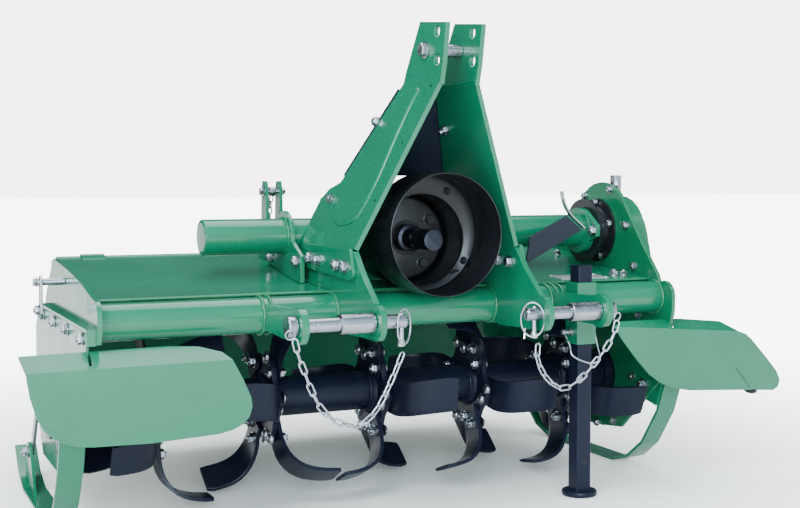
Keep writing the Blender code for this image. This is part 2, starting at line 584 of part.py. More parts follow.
def guard(face, back, name, rake, bracket, slot):
    """Sheet guard: upright face, and a lip leaning back from its top edge."""
    g = plate("gf", face, "Y", Y_GUARD - 0.004, Y_GUARD)
    a, b = Vector(face[0]), Vector(face[-1])
    run = (b - a).length
    tilt = math.atan2((b - a).y, (b - a).x)
    place = (Matrix.Translation((a.x, Y_GUARD - 0.002, a.y - 0.001)) @ Matrix.Rotation(-tilt, 4, "Y")
             @ Matrix.Rotation(rake, 4, "X"))
    lip = [(0.0, -0.001)] + [(p * run, q) for p, q in back] + [(run, -0.001)]
    g = join(g, plate("gl", lip, "Z", -0.002, 0.002, place))
    g = join(g, box("gb", *bracket))
    g = cut(g, box("gs", (slot[0], Y_GUARD + 0.0015, 0.26), (slot[1], -0.14, 0.34)))
    return finish(g, name, "green")


guard(LEFT_FACE, [(-0.02, 0.037), (0.70, 0.039), (0.85, 0.034), (0.96, 0.018)], "left_guard",
      math.radians(36), ((X_PANEL + GAP, Y_GUARD - 0.001, 0.215), (X_PANEL + 0.005, -0.150, 0.275)),
      (X_PANEL - 0.0056, X_PANEL + 0.0001))
guard(RIGHT_FACE, [(0.10, 0.020), (0.60, 0.040), (0.93, 0.036)], "right_guard",
      math.radians(24), ((X_RIGHT - 0.005, Y_GUARD - 0.001, 0.215), (X_RIGHT - GAP, -0.165, 0.265)),
      (X_RIGHT - 0.0001, X_RIGHT + T_SIDE + 0.0006))

# rest for the drive shaft when it is uncoupled
rest = plate("re", [(0.301, 0.464), (0.383, 0.504), (0.418, 0.476), (0.291, 0.412)], "Y", -0.063, -0.058)
rest = join(rest, box("re1", (0.384, -0.059, 0.462), (0.396, -0.0175, 0.478)))
rest = cut(rest, rod("re2", (0.36, YU, ZI), (0.42, YU, ZI), R_UPPER + GAP, 32))
finish(rest, "shaft_rest_plate", "navy")
hook = plate("ho", band([(0.3690, 0.551), (0.3745, 0.530), (0.3850, 0.510), (0.3990, 0.4955), (0.4215, 0.4780)],
                        0.003), "Y", -0.0685, -0.0575)
finish(hook, "shaft_rest_hook", "steel")

bpy.context.view_layer.update()
lo = Vector((9, 9, 9))
hi = -lo
for ob in parts.objects:
    if ob.type == "MESH":
        for c in ob.bound_box:
            p = ob.matrix_world @ Vector(c)
            lo = Vector(map(min, lo, p))
            hi = Vector(map(max, hi, p))
print("box", [round(c, 4) for c in lo], [round(c, 4) for c in hi],
      "centre", round((lo.x + hi.x) / 2, 4), round((lo.y + hi.y) / 2, 4))
print("triangles", sum(sum(len(p.vertices) - 2 for p in ob.data.polygons)
                       for ob in parts.objects if ob.type == "MESH"))
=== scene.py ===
"""Looks for the rotary tiller: materials, detailed pieces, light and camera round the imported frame."""
import json
import math

import bmesh
import bpy
from mathutils import Matrix, Vector
from mathutils.bvhtree import BVHTree


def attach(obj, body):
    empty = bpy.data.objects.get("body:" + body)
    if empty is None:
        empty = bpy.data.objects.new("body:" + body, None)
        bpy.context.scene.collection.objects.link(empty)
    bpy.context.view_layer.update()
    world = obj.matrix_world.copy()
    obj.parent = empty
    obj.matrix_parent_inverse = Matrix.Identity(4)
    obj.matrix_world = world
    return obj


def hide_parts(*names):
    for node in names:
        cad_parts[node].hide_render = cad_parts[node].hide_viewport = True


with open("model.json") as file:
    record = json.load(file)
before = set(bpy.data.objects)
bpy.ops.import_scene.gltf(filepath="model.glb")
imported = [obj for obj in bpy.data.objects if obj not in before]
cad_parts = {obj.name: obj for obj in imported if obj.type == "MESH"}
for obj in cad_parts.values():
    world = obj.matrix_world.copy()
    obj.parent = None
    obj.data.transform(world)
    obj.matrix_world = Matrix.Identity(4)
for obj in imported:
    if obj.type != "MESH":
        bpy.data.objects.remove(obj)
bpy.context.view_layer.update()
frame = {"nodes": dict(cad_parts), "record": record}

# part.py's working frame (X = 0 on the input shaft, Y = 0 on the rotor axis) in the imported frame
OX, OY = -0.0458, -0.0376
T = Matrix.Translation((OX, OY, 0.0))

ZR, ZI, YU = 0.181, 0.472, 0.015
YF, ZF, R_TUBE, R_UPPER = -0.176, 0.351, 0.030, 0.032
X_LEFT, X_RIGHT, T_SIDE = -0.552, 0.508, 0.008
X_PANEL = X_LEFT - 0.016
ZP, YP, R_PIN = 0.351, -0.352, 0.011
X_IN, T_HITCH = 0.146, 0.010
LEG_X, LEG_Y = 0.307, -0.230
Y_RIM, R_SHIELD, Z_SHIELD = -0.2995, 0.103, 0.4830
SET_X = (-0.428, -0.218, -0.008, 0.200, 0.400)
SET_TURN = (178, 150, 95, 100, 110)
YH, ZH = 0.222, 0.424

# ------------------------------------------------------------------ camera
yaw, pitch = math.radians(24.9), math.radians(3.4)
d = Vector((math.sin(yaw) * math.cos(pitch), math.cos(yaw) * math.cos(pitch), -math.sin(pitch)))
r = Vector((math.cos(yaw), -math.sin(yaw), 0))
u = r.cross(d)
cam_data = bpy.data.cameras.new("camera")
cam_data.lens = 55.0
cam_data.sensor_width = 36.0
cam_data.clip_end = 200
cam = bpy.data.objects.new("camera", cam_data)
bpy.context.scene.collection.objects.link(cam)
cam.matrix_world = Matrix(((r.x, u.x, -d.x, -0.9189 + OX), (r.y, u.y, -d.y, -2.0927 + OY),
                           (r.z, u.z, -d.z, 0.5712), (0, 0, 0, 1)))
bpy.context.scene.camera = cam


# --------------------------------------------------------------- materials
def new_mat(name):
    m = bpy.data.materials.new(name)
    m.use_nodes = True
    nt = m.node_tree
    return m, nt, nt.nodes["Principled BSDF"], nt.nodes.new("ShaderNodeTexCoord").outputs["Object"]


def tex_noise(nt, co, scale, detail=3.0, rough=0.5, stretch=None):
    if stretch:
        mp = nt.nodes.new("ShaderNodeMapping")
        mp.inputs["Scale"].default_value = stretch
        nt.links.new(co, mp.inputs["Vector"])
        co = mp.outputs["Vector"]
    n = nt.nodes.new("ShaderNodeTexNoise")
    n.inputs["Scale"].default_value = scale
    n.inputs["Detail"].default_value = detail
    n.inputs["Roughness"].default_value = rough
    nt.links.new(co, n.inputs["Vector"])
    return n.outputs["Fac"]


def ramp(nt, fac, stops):
    n = nt.nodes.new("ShaderNodeValToRGB")
    el = n.color_ramp.elements
    while len(el) < len(stops):
        el.new(0.5)
    for e, (p, c) in zip(el, stops):
        e.position = p
        e.color = (*c, 1.0) if len(c) == 3 else c
    nt.links.new(fac, n.inputs["Fac"])
    return n.outputs["Color"]


def remap(nt, fac, a, b, lo, hi):
    n = nt.nodes.new("ShaderNodeMapRange")
    n.inputs["From Min"].default_value = a
    n.inputs["From Max"].default_value = b
    n.inputs["To Min"].default_value = lo
    n.inputs["To Max"].default_value = hi
    nt.links.new(fac, n.inputs["Value"])
    return n.outputs["Result"]


def add_bump(nt, b, heights):
    """Chain of bumps: (height socket, strength, distance)."""
    last = None
    for h, strength, dist in heights:
        n = nt.nodes.new("ShaderNodeBump")
        n.inputs["Strength"].default_value = strength
        n.inputs["Distance"].default_value = dist
        nt.links.new(h, n.inputs["Height"])
        if last is not None:
            nt.links.new(last, n.inputs["Normal"])
        last = n.outputs["Normal"]
    nt.links.new(last, b.inputs["Normal"])


def mix(nt, fac, a, c, kind="MIX"):
    n = nt.nodes.new("ShaderNodeMix")
    n.data_type = "RGBA"
    n.blend_type = kind
    for sock, val in ((n.inputs[0], fac), (n.inputs[6], a), (n.inputs[7], c)):
        if isinstance(val, bpy.types.NodeSocket):
            nt.links.new(val, sock)
        elif isinstance(val, (int, float)):
            sock.default_value = val
        else:
            sock.default_value = (*val, 1.0)
    return n.outputs[2]


def dust(nt, co, amount):
    """0 on walls and undersides, up to amount on upward faces, broken up by noise."""
    g = nt.nodes.new("ShaderNodeNewGeometry")
    s = nt.nodes.new("ShaderNodeSeparateXYZ")
    nt.links.new(g.outputs["Normal"], s.inputs[0])
    up = remap(nt, s.outputs["Z"], 0.3, 1.0, 0.0, amount)
    br = remap(nt, tex_noise(nt, co, 26.0, 5.0, 0.6), 0.35, 0.75, 0.0, 1.0)
    m = nt.nodes.new("ShaderNodeMath")
    m.operation = "MULTIPLY"
    nt.links.new(up, m.inputs[0])
    nt.links.new(br, m.inputs[1])
    return m.outputs[0]


def paint(name, dark, light, rough, coat, peel=0.10, metal=0.0, dusty=0.02, spec=0.35):
    m, nt, b, co = new_mat(name)
    col = ramp(nt, tex_noise(nt, co, 5.0, 4.0, 0.55), [(0.30, dark), (0.72, light)])
    fine = remap(nt, tex_noise(nt, co, 900.0, 2.0, 0.5), 0.35, 0.65, 0.94, 1.06)
    col = mix(nt, 1.0, col, fine, "MULTIPLY")
    col = mix(nt, dust(nt, co, dusty), col, (0.30, 0.30, 0.28))
    nt.links.new(col, b.inputs["Base Color"])
    nt.links.new(remap(nt, tex_noise(nt, co, 14.0, 5.0, 0.6), 0.3, 0.7, rough * 0.82, rough * 1.25),
                 b.inputs["Roughness"])
    b.inputs["Metallic"].default_value = metal
    b.inputs["Coat Weight"].default_value = coat
    b.inputs["Coat Roughness"].default_value = 0.05
    b.inputs["Specular IOR Level"].default_value = spec
    add_bump(nt, b, [(tex_noise(nt, co, 240.0, 2.0, 0.45), peel, 0.0006),
                     (tex_noise(nt, co, 9.0, 2.0, 0.5), 0.05, 0.004)])
    return m


GREEN = paint("green_gloss_paint", (0.0016, 0.104, 0.050), (0.0026, 0.128, 0.063), 0.23, 0.35)
GREEN_CASE = paint("green_case_paint", (0.0014, 0.092, 0.038), (0.0022, 0.114, 0.048), 0.30, 0.20, peel=0.16)
NAVY = paint("navy_blade_paint", (0.0036, 0.0044, 0.0120), (0.0062, 0.0074, 0.0190), 0.34, 0.0, peel=0.14, dusty=0.015, spec=0.16)
NAVY_PLATE = paint("navy_plate_paint", (0.0045, 0.0060, 0.0140), (0.0080, 0.0105, 0.0220), 0.34, 0.05, peel=0.12, dusty=0.02, spec=0.25)
BLACK = paint("black_machine_paint", (0.0040, 0.0045, 0.0060), (0.0070, 0.0075, 0.0095), 0.34, 0.20, peel=0.12, dusty=0.03)


def plastic():
    m, nt, b, co = new_mat("black_moulded_plastic")
    col = ramp(nt, tex_noise(nt, co, 8.0, 4.0, 0.6), [(0.3, (0.0028, 0.0029, 0.0045)), (0.75, (0.0048, 0.0050, 0.0072))])
    nt.links.new(col, b.inputs["Base Color"])
    nt.links.new(remap(nt, tex_noise(nt, co, 30.0, 4.0, 0.6), 0.3, 0.7, 0.26, 0.36), b.inputs["Roughness"])
    b.inputs["Specular IOR Level"].default_value = 0.28
    add_bump(nt, b, [(tex_noise(nt, co, 520.0, 2.0, 0.5), 0.12, 0.0004)])
    return m


def cast(name, lo, hi, rough):
    m, nt, b, co = new_mat(name)
    col = ramp(nt, tex_noise(nt, co, 12.0, 6.0, 0.65), [(0.3, lo), (0.75, hi)])
    nt.links.new(col, b.inputs["Base Color"])
    nt.links.new(remap(nt, tex_noise(nt, co, 60.0, 4.0, 0.6), 0.3, 0.7, rough * 0.85, rough * 1.2), b.inputs["Roughness"])
    b.inputs["Coat Weight"].default_value = 0.12
    add_bump(nt, b, [(tex_noise(nt, co, 170.0, 5.0, 0.7), 0.35, 0.0016)])
    return m


def metal(name, lo, hi, rough, scale=60.0, streak=None, bump=0.05):
    m, nt, b, co = new_mat(name)
    col = ramp(nt, tex_noise(nt, co, scale, 4.0, 0.6), [(0.28, lo), (0.72, hi)])
    nt.links.new(col, b.inputs["Base Color"])
    b.inputs["Metallic"].default_value = 1.0
    nt.links.new(remap(nt, tex_noise(nt, co, scale * 1.7, 4.0, 0.6), 0.3, 0.7, rough * 0.75, rough * 1.3),
                 b.inputs["Roughness"])
    add_bump(nt, b, [(tex_noise(nt, co, 700.0, 3.0, 0.6, streak), bump, 0.0003)])
    return m


PLASTIC = plastic()
CAST = cast("cast_gear_case_paint", (0.0026, 0.0027, 0.0040), (0.0050, 0.0052, 0.0070), 0.40)
ZINC = metal("zinc_plated_steel", (0.30, 0.31, 0.35), (0.41, 0.42, 0.46), 0.30)
ZINC_TURNED = metal("zinc_turned_steel", (0.29, 0.29, 0.33), (0.40, 0.40, 0.44), 0.26, 40.0, (0.3, 6.0, 6.0), 0.10)
CHAIN = metal("galvanised_chain", (0.34, 0.35, 0.39), (0.46, 0.47, 0.51), 0.34, 140.0)
STEEL = metal("machined_steel", (0.11, 0.11, 0.13), (0.17, 0.17, 0.19), 0.40, 90.0)
# input shaft: dark oiled steel, its base darkened further as painted shade for the shield's hollow it sits in
SHADED_SHAFT_STEEL = metal("oiled_steel_painted_shade", (0.022, 0.023, 0.032), (0.040, 0.042, 0.055), 0.42, 90.0)
WELD = paint("green_weld_bead", (0.0014, 0.096, 0.036), (0.0022, 0.118, 0.046), 0.34, 0.35, peel=0.35)


def plate_metal():
    m, nt, b, co = new_mat("blank_name_plate")
    col = ramp(nt, tex_noise(nt, co, 90.0, 3.0, 0.5), [(0.3, (0.48, 0.49, 0.50)), (0.7, (0.60, 0.61, 0.62))])
    nt.links.new(col, b.inputs["Base Color"])
    b.inputs["Metallic"].default_value = 0.85
    nt.links.new(remap(nt, tex_noise(nt, co, 400.0, 3.0, 0.5, (1.0, 8.0, 1.0)), 0.3, 0.7, 0.28, 0.46), b.inputs["Roughness"])
    add_bump(nt, b, [(tex_noise(nt, co, 600.0, 2.0, 0.5, (1.0, 8.0, 1.0)), 0.10, 0.0003)])
    return m


PLATE_METAL = plate_metal()


def floor_mat():
    m, nt, b, co = new_mat("studio_floor")
    col = ramp(nt, tex_noise(nt, co, 0.8, 3.0, 0.5), [(0.3, (0.86, 0.81, 0.79)), (0.7, (0.89, 0.84, 0.82))])
    nt.links.new(col, b.inputs["Base Color"])
    b.inputs["Specular IOR Level"].default_value = 0.2
    nt.links.new(remap(nt, tex_noise(nt, co, 3.0, 3.0, 0.5), 0.3, 0.7, 0.55, 0.70), b.inputs["Roughness"])
    # painted light: the floor is emissive, faint in the middle as a painted shadow under the machine and running up to
    # painted white light away from it
    ln = nt.nodes.new("ShaderNodeVectorMath")
    ln.operation = "LENGTH"
    nt.links.new(co, ln.inputs[0])
    painted_floor_light = nt.nodes.new("ShaderNodeMapRange")
    painted_floor_light.interpolation_type = "SMOOTHSTEP"
    painted_floor_light.inputs["From Min"].default_value = 0.20
    painted_floor_light.inputs["From Max"].default_value = 2.6
    painted_floor_light.inputs["To Min"].default_value = 0.08
    painted_floor_light.inputs["To Max"].default_value = 7.0
    nt.links.new(ln.outputs["Value"], painted_floor_light.inputs["Value"])
    b.inputs["Emission Color"].default_value = (1.0, 1.0, 1.0, 1.0)
    # this painted light and shadow at full strength to the eye, softer in what it throws back on the machine
    seen = nt.nodes.new("ShaderNodeMapRange")
    seen.inputs["To Min"].default_value = 0.20
    seen.inputs["To Max"].default_value = 1.0
    nt.links.new(nt.nodes.new("ShaderNodeLightPath").outputs["Is Camera Ray"], seen.inputs["Value"])
    both = nt.nodes.new("ShaderNodeMath")
    both.operation = "MULTIPLY"
    nt.links.new(painted_floor_light.outputs["Result"], both.inputs[0])
    nt.links.new(seen.outputs["Result"], both.inputs[1])
    nt.links.new(both.outputs[0], b.inputs["Emission Strength"])
    return m


# ---------------------------------------------------------------- geometry
def to_axis(p, direction, turn=0.0):
    q = Vector(direction).to_track_quat("Z", "Y").to_matrix().to_4x4()
    return Matrix.Translation(Vector(p)) @ q @ Matrix.Rotation(turn, 4, "Z")


AXES = {"X": Matrix(((0, 0, 1), (1, 0, 0), (0, 1, 0))).to_4x4(),
        "Y": Matrix(((1, 0, 0), (0, 0, -1), (0, 1, 0))).to_4x4(),
        "Z": Matrix.Identity(4)}


class Geo:
    """One piece's mesh, gathered from several closed shapes, in the working frame."""

    def __init__(self):
        self.bm = bmesh.new()

    def take(self, bm, m=None):
        if m is not None:
            bmesh.ops.transform(bm, matrix=m, verts=bm.verts)
        bmesh.ops.recalc_face_normals(bm, faces=bm.faces)
        me = bpy.data.meshes.new("tmp")
        bm.to_mesh(me)
        bm.free()
        self.bm.from_mesh(me)
        bpy.data.meshes.remove(me)
        return self

    def lathe(self, profile, origin, axis, seg=64, closed=False, m=None):
        """profile: (radius, distance along axis); ends on the axis are closed by discs."""
        bm = bmesh.new()
        rings = []
        for rad, h in profile:
            if rad < 1e-6:
                rings.append([bm.verts.new((0, 0, h))])
            else:
                rings.append([bm.verts.new((rad * math.cos(2 * math.pi * i / seg),
                                            rad * math.sin(2 * math.pi * i / seg), h)) for i in range(seg)])
        pairs = list(zip(rings, rings[1:]))
        if closed:
            pairs.append((rings[-1], rings[0]))
        for a, b in pairs:
            for i in range(seg):
                j = (i + 1) % seg
                if len(a) == 1 and len(b) == 1:
                    continue
                if len(a) == 1:
                    bm.faces.new((a[0], b[i], b[j]))
                elif len(b) == 1:
                    bm.faces.new((a[i], a[j], b[0]))
                else:
                    bm.faces.new((a[i], a[j], b[j], b[i]))
        if not closed:
            for rg in (rings[0], rings[-1]):
                if len(rg) > 1:
                    bm.faces.new(rg)
        mm = to_axis(origin, axis)
        return self.take(bm, mm if m is None else m @ mm)

    def rod(self, a, b, rad, seg=32, ch=None, m=None):
        a, b = Vector(a), Vector(b)
        n = (b - a).length
        ch = min(rad * 0.2, n * 0.25, 0.0015) if ch is None else ch
        pr = [(0, 0), (rad - ch, 0), (rad - ch * 0.3, ch * 0.3), (rad, ch), (rad, n - ch),
              (rad - ch * 0.3, n - ch * 0.3), (rad - ch, n), (0, n)]
        return self.lathe(pr, a, b - a, seg, m=m)

    def ring(self, a, b, ro, ri, seg=48, ch=0.0008):
        a, b = Vector(a), Vector(b)
        n = (b - a).length
        pr = [(ri, ch), (ri + ch, 0), (ro - ch, 0), (ro, ch), (ro, n - ch), (ro - ch, n), (ri + ch, n), (ri, n - ch)]
        return self.lathe(pr, a, b - a, seg, closed=True)

    def prism(self, pts, axis, t0, t1, bevel=0.0012, seg=2, m=None):
        bm = bmesh.new()
        lo, hi = min(t0, t1), max(t0, t1)
        base = [bm.verts.new((p[0], p[1], lo)) for p in pts]
        top = [bm.verts.new((p[0], p[1], hi)) for p in pts]
        bm.faces.new(base)
        bm.faces.new(top)
        for i in range(len(pts)):
            j = (i + 1) % len(pts)
            bm.faces.new((base[i], base[j], top[j], top[i]))
        bmesh.ops.recalc_face_normals(bm, faces=bm.faces)
        if bevel:
            ed = [e for e in bm.edges if e.calc_face_angle(0.0) > math.radians(35)]
            bmesh.ops.bevel(bm, geom=ed, offset=bevel, segments=seg, affect="EDGES", profile=0.5, clamp_overlap=True)
        # the outline's own plane: (x, y) -> axis frame, with t along the axis
        mm = AXES[axis]
        if axis == "Y":
            mm = Matrix(((1, 0, 0), (0, 0, 1), (0, 1, 0))).to_4x4()
        return self.take(bm, mm if m is None else m @ mm)

    def box(self, lo, hi, bevel=0.0012, seg=2, m=None):
        return self.prism([(lo[0], lo[1]), (hi[0], lo[1]), (hi[0], hi[1]), (lo[0], hi[1])], "Z", lo[2], hi[2], bevel, seg, m)

    def tube(self, pts, rad, seg=10, closed=False, ripple=0.0):
        pts = [Vector(p) for p in pts]
        n = len(pts)
        bm = bmesh.new()
        rings, nrm = [], None
        for i, p in enumerate(pts):
            if closed:
                t = (pts[(i + 1) % n] - pts[i - 1]).normalized()
            else:
                t = (pts[min(i + 1, n - 1)] - pts[max(i - 1, 0)]).normalized()
            if nrm is None:
                nrm = t.orthogonal().normalized()
            nrm = (nrm - t * nrm.dot(t)).normalized()
            bn = t.cross(nrm)
            rr = (rad[i] if isinstance(rad, (list, tuple)) else rad) * (1 + ripple * math.sin(i * 2.1) + ripple * 0.6 * math.sin(i * 0.93))
            rings.append([bm.verts.new(p + (nrm * math.cos(2 * math.pi * k / seg) + bn * math.sin(2 * math.pi * k / seg)) * rr)
                          for k in range(seg)])
        pairs = list(zip(rings, rings[1:]))
        if closed:
            # the frame turns on its way round: start the last join at the nearest vertex
            a, b = rings[-1], rings[0]
            sh = min(range(seg), key=lambda s: (a[0].co - b[s].co).length)
            pairs.append((a, b[sh:] + b[:sh]))
        for a, b in pairs:
            for k in range(seg):
                bm.faces.new((a[k], a[(k + 1) % seg], b[(k + 1) % seg], b[k]))
        if not closed:
            bm.faces.new(rings[0])
            bm.faces.new(rings[-1])
        return self.take(bm)

    def bolt(self, p, direction, size=0.008, washer=True, turn=0.0, stud=0.0, dome=False):
        """Hexagon head on a washer, facing direction. size: shank diameter."""
        m = to_axis(p, direction, turn)
        z = 0.0
        if washer:
            self.lathe([(0, 0), (size * 1.05, 0), (size * 1.12, size * 0.05), (size * 1.12, size * 0.15),
                        (size * 1.05, size * 0.2), (0, size * 0.2)], (0, 0, 0), (0, 0, 1), 24, m=m)
            z = size * 0.2
        h = size * 0.68
        if dome:
            self.lathe([(0, z), (size * 0.95, z), (size * 0.92, z + size * 0.18), (size * 0.66, z + size * 0.42),
                        (size * 0.3, z + size * 0.52), (0, z + size * 0.54)], (0, 0, 0), (0, 0, 1), 24, m=m)
            return self
        bm = bmesh.new()
        ang = [2 * math.pi * i / 6 for i in range(6)]
        rc = size * 0.94
        rows = [(rc * 0.97, z), (rc, z + h * 0.08), (rc, z + h * 0.84), (rc * 0.90, z + h), (rc * 0.80, z + h), (rc * 0.74, z + h * 0.97)]
        vs = [[bm.verts.new((rr * math.cos(a), rr * math.sin(a), zz)) for a in ang] for rr, zz in rows]
        for a, b in zip(vs, vs[1:]):
            for i in range(6):
                bm.faces.new((a[i], a[(i + 1) % 6], b[(i + 1) % 6], b[i]))
        bm.faces.new(vs[0])
        bm.faces.new(vs[-1])
        self.take(bm, m)
        if stud:
            self.lathe([(0, z + h * 0.9), (size * 0.48, z + h * 0.9), (size * 0.48, z + h + stud * 0.8),
                        (size * 0.38, z + h + stud), (0, z + h + stud)], (0, 0, 0), (0, 0, 1), 16, m=m)
        return self

    def weld(self, pts, rad=0.0026, closed=False):
        return self.tube(pts, rad, 8, closed, ripple=0.13)


def circle(c, axis, rad, n, a0=0.0, a1=360.0):
    m = to_axis(c, axis)
    full = abs(a1 - a0) >= 359.9
    k = n if full else n - 1
    return [m @ Vector((rad * math.cos(math.radians(a0 + (a1 - a0) * i / k)),
                        rad * math.sin(math.radians(a0 + (a1 - a0) * i / k)), 0)) for i in range(n)]


def curve(pts, step):
    """Evenly spaced points on a Catmull-Rom curve."""
    p = [Vector(q) for q in pts]
    p = [p[0] * 2 - p[1]] + p + [p[-1] * 2 - p[-2]]
    fine = []
    for i in range(1, len(p) - 2):
        for k in range(40):
            t = k / 40
            fine.append(0.5 * (2 * p[i] + (p[i + 1] - p[i - 1]) * t
                               + (2 * p[i - 1] - 5 * p[i] + 4 * p[i + 1] - p[i + 2]) * t * t
                               + (3 * p[i] - p[i - 1] - 3 * p[i + 1] + p[i + 2]) * t ** 3))
    fine.append(p[-2])
    length = sum((b - a).length for a, b in zip(fine, fine[1:]))
    n = max(2, round(length / step))
    out, want, run = [fine[0]], length / n, 0.0
    for a, b in zip(fine, fine[1:]):
        seg = (b - a).length
        while run + seg >= want - 1e-9 and len(out) < n:
            f = (want - run) / seg
            out.append(a.lerp(b, f))
            a, seg, run = out[-1], seg * (1 - f), 0.0
        run += seg
    out.append(fine[-1])
    return out[:n + 1]


def arc2(cx, cy, rad, a0, a1, n):
    return [(cx + rad * math.cos(math.radians(a0 + (a1 - a0) * i / n)),
             cy + rad * math.sin(math.radians(a0 + (a1 - a0) * i / n))) for i in range(n + 1)]


def round_poly(pts, rad, n=5):
    """Polygon with rounded corners; rad may be a list."""
    out = []
    k = len(pts)
    for i in range(k):
        p, a, b = Vector(pts[i]), Vector(pts[i - 1]), Vector(pts[(i + 1) % k])
        rr = rad[i] if isinstance(rad, (list, tuple)) else rad
        da, db = (a - p), (b - p)
        cut_len = min(rr, da.length * 0.45, db.length * 0.45)
        pa, pb = p + da.normalized() * cut_len, p + db.normalized() * cut_len
        for j in range(n + 1):
            t = j / n
            out.append(tuple(pa * (1 - t) ** 2 + p * 2 * t * (1 - t) + pb * t * t))
    return out


def strip(path, t):
    """Outline of a strip of thickness t on the left of an open path."""
    pts = [Vector(p) for p in path]
    out = []
    for i, p in enumerate(pts):
        d0 = (p - pts[i - 1]).normalized() if i else None
        d1 = (pts[i + 1] - p).normalized() if i < len(pts) - 1 else None
        if d0 is None:
            n = Vector((-d1.y, d1.x)) * t
        elif d1 is None:
            n = Vector((-d0.y, d0.x)) * t
        else:
            b = (Vector((-d0.y, d0.x)) + Vector((-d1.y, d1.x))).normalized()
            n = b * (t / max(0.3, b.dot(Vector((-d0.y, d0.x)))))
        out.append(p + n)
    return [tuple(p) for p in pts] + [tuple(p) for p in reversed(out)]


def shade(ob, sharp=46.0):
    ob.data.shade_smooth()
    ob.data.set_sharp_from_angle(angle=math.radians(sharp))
    w = ob.modifiers.new("normals", "WEIGHTED_NORMAL")
    w.keep_sharp = True
    w.weight = 60


def piece(name, geo, mat, body="frame", replaces=(), sharp=46.0, local=True):
    bm = geo.bm if isinstance(geo, Geo) else geo
    if local:
        bmesh.ops.transform(bm, matrix=T, verts=bm.verts)
    me = bpy.data.meshes.new(name)
    bm.to_mesh(me)
    bm.free()
    me.materials.append(mat)
    ob = bpy.data.objects.new(name, me)
    bpy.context.scene.collection.objects.link(ob)
    shade(ob, sharp)
    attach(ob, body)
    if replaces:
        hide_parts(*replaces)
    return ob


NODE_BODY = {n: b for b, ns in frame["record"]["behaviour"]["bodies"].items() for n in ns}
NODE_SLOT = {s["node"]: s["material_slot"] for s in frame["record"]["subparts"]}


def refine(node, mat, bevel=0.0012, seg=3, angle=32.0, sharp=50.0):
    """The CAD node's own shape with rolled edges and its finish."""
    bm = bmesh.new()
    bm.from_mesh(frame["nodes"][node].data)
    bmesh.ops.remove_doubles(bm, verts=bm.verts, dist=2e-5)
    bmesh.ops.dissolve_limit(bm, angle_limit=math.radians(0.6), verts=bm.verts, edges=bm.edges)
    bmesh.ops.recalc_face_normals(bm, faces=bm.faces)
    if bevel:
        ed = [e for e in bm.edges if len(e.link_faces) == 2 and e.calc_face_angle(0.0) > math.radians(angle)]
        bmesh.ops.bevel(bm, geom=ed, offset=bevel, segments=seg, affect="EDGES", profile=0.5, clamp_overlap=True)
    ob = piece(node + "_body", bm, mat, NODE_BODY[node], (node,), sharp, local=False)
    return ob

# ------------------------------------------------- pieces kept to CAD shape
MAT = {"green_paint": GREEN, "navy_paint": NAVY, "black_paint": BLACK, "black_plastic": PLASTIC,
       "cast_gear_case": CAST, "zinc_steel": ZINC}
BEVEL = {"hood": 0.0010, "front_tube": 0.0, "left_hitch_plate": 0.0024, "right_hitch_plate": 0.0024,
         "left_outer_eye_plate": 0.0026, "right_outer_eye_plate": 0.0026, "left_mast_plate": 0.0018,
         "right_mast_plate": 0.0018, "left_guard": 0.0012, "right_guard": 0.0012, "chain_case_cover": 0.0045,
         "stand_leg": 0.0022, "stand_socket": 0.0016, "chain_case_plate": 0.0016, "left_skid": 0.0016,
         "right_skid": 0.0016, "rear_board": 0.0012, "left_upper_tube_clamp": 0.0018,
         "right_upper_tube_clamp": 0.0018, "drive_shaft_tube": 0.0016}
OWN = {"left_pin_chain", "right_pin_chain", "left_lynch_pin", "right_lynch_pin", "input_shaft_shield", "gearbox",
       "input_shaft", "front_tube", "left_upper_tube", "top_link_spacer", "left_hitch_pin", "right_hitch_pin",
       "left_hitch_sleeve", "right_hitch_sleeve", "chain_case_filler_plug", "drive_bearing_flange",
       "left_rotor_bearing", "shaft_rest_hook", "stand_lock_pin", "stand_leg"} | {"blade_set_%d" % k for k in range(1, 6)}
for n in sorted(frame["nodes"]):
    if n in OWN:
        continue
    mat = MAT[NODE_SLOT[n]]
    if n in ("mast_rear_panel", "shaft_rest_plate"):
        mat = NAVY_PLATE
    if n.startswith("chain_case"):
        mat = GREEN_CASE
    refine(n, mat, BEVEL.get(n, 0.0010))

# ------------------------------------------------------------------- tubes
g = Geo()
g.rod((X_LEFT + 0.0004, YF, ZF), (X_RIGHT - 0.0004, YF, ZF), R_TUBE, 96, 0.0012)
piece("front_tube_body", g, GREEN, replaces=("front_tube",))
g = Geo()
g.lathe([(0, 0), (0.0022, 0.0), (0.0022, 0.003), (0.0030, 0.0002), (R_UPPER - 0.006, 0), (R_UPPER - 0.0015, 0.0006),
         (R_UPPER, 0.0022), (R_UPPER, 0.2537), (0, 0.2537)], (-0.329, YU, ZI), (1, 0, 0), 96)
piece("left_upper_tube_body", g, GREEN, replaces=("left_upper_tube",))
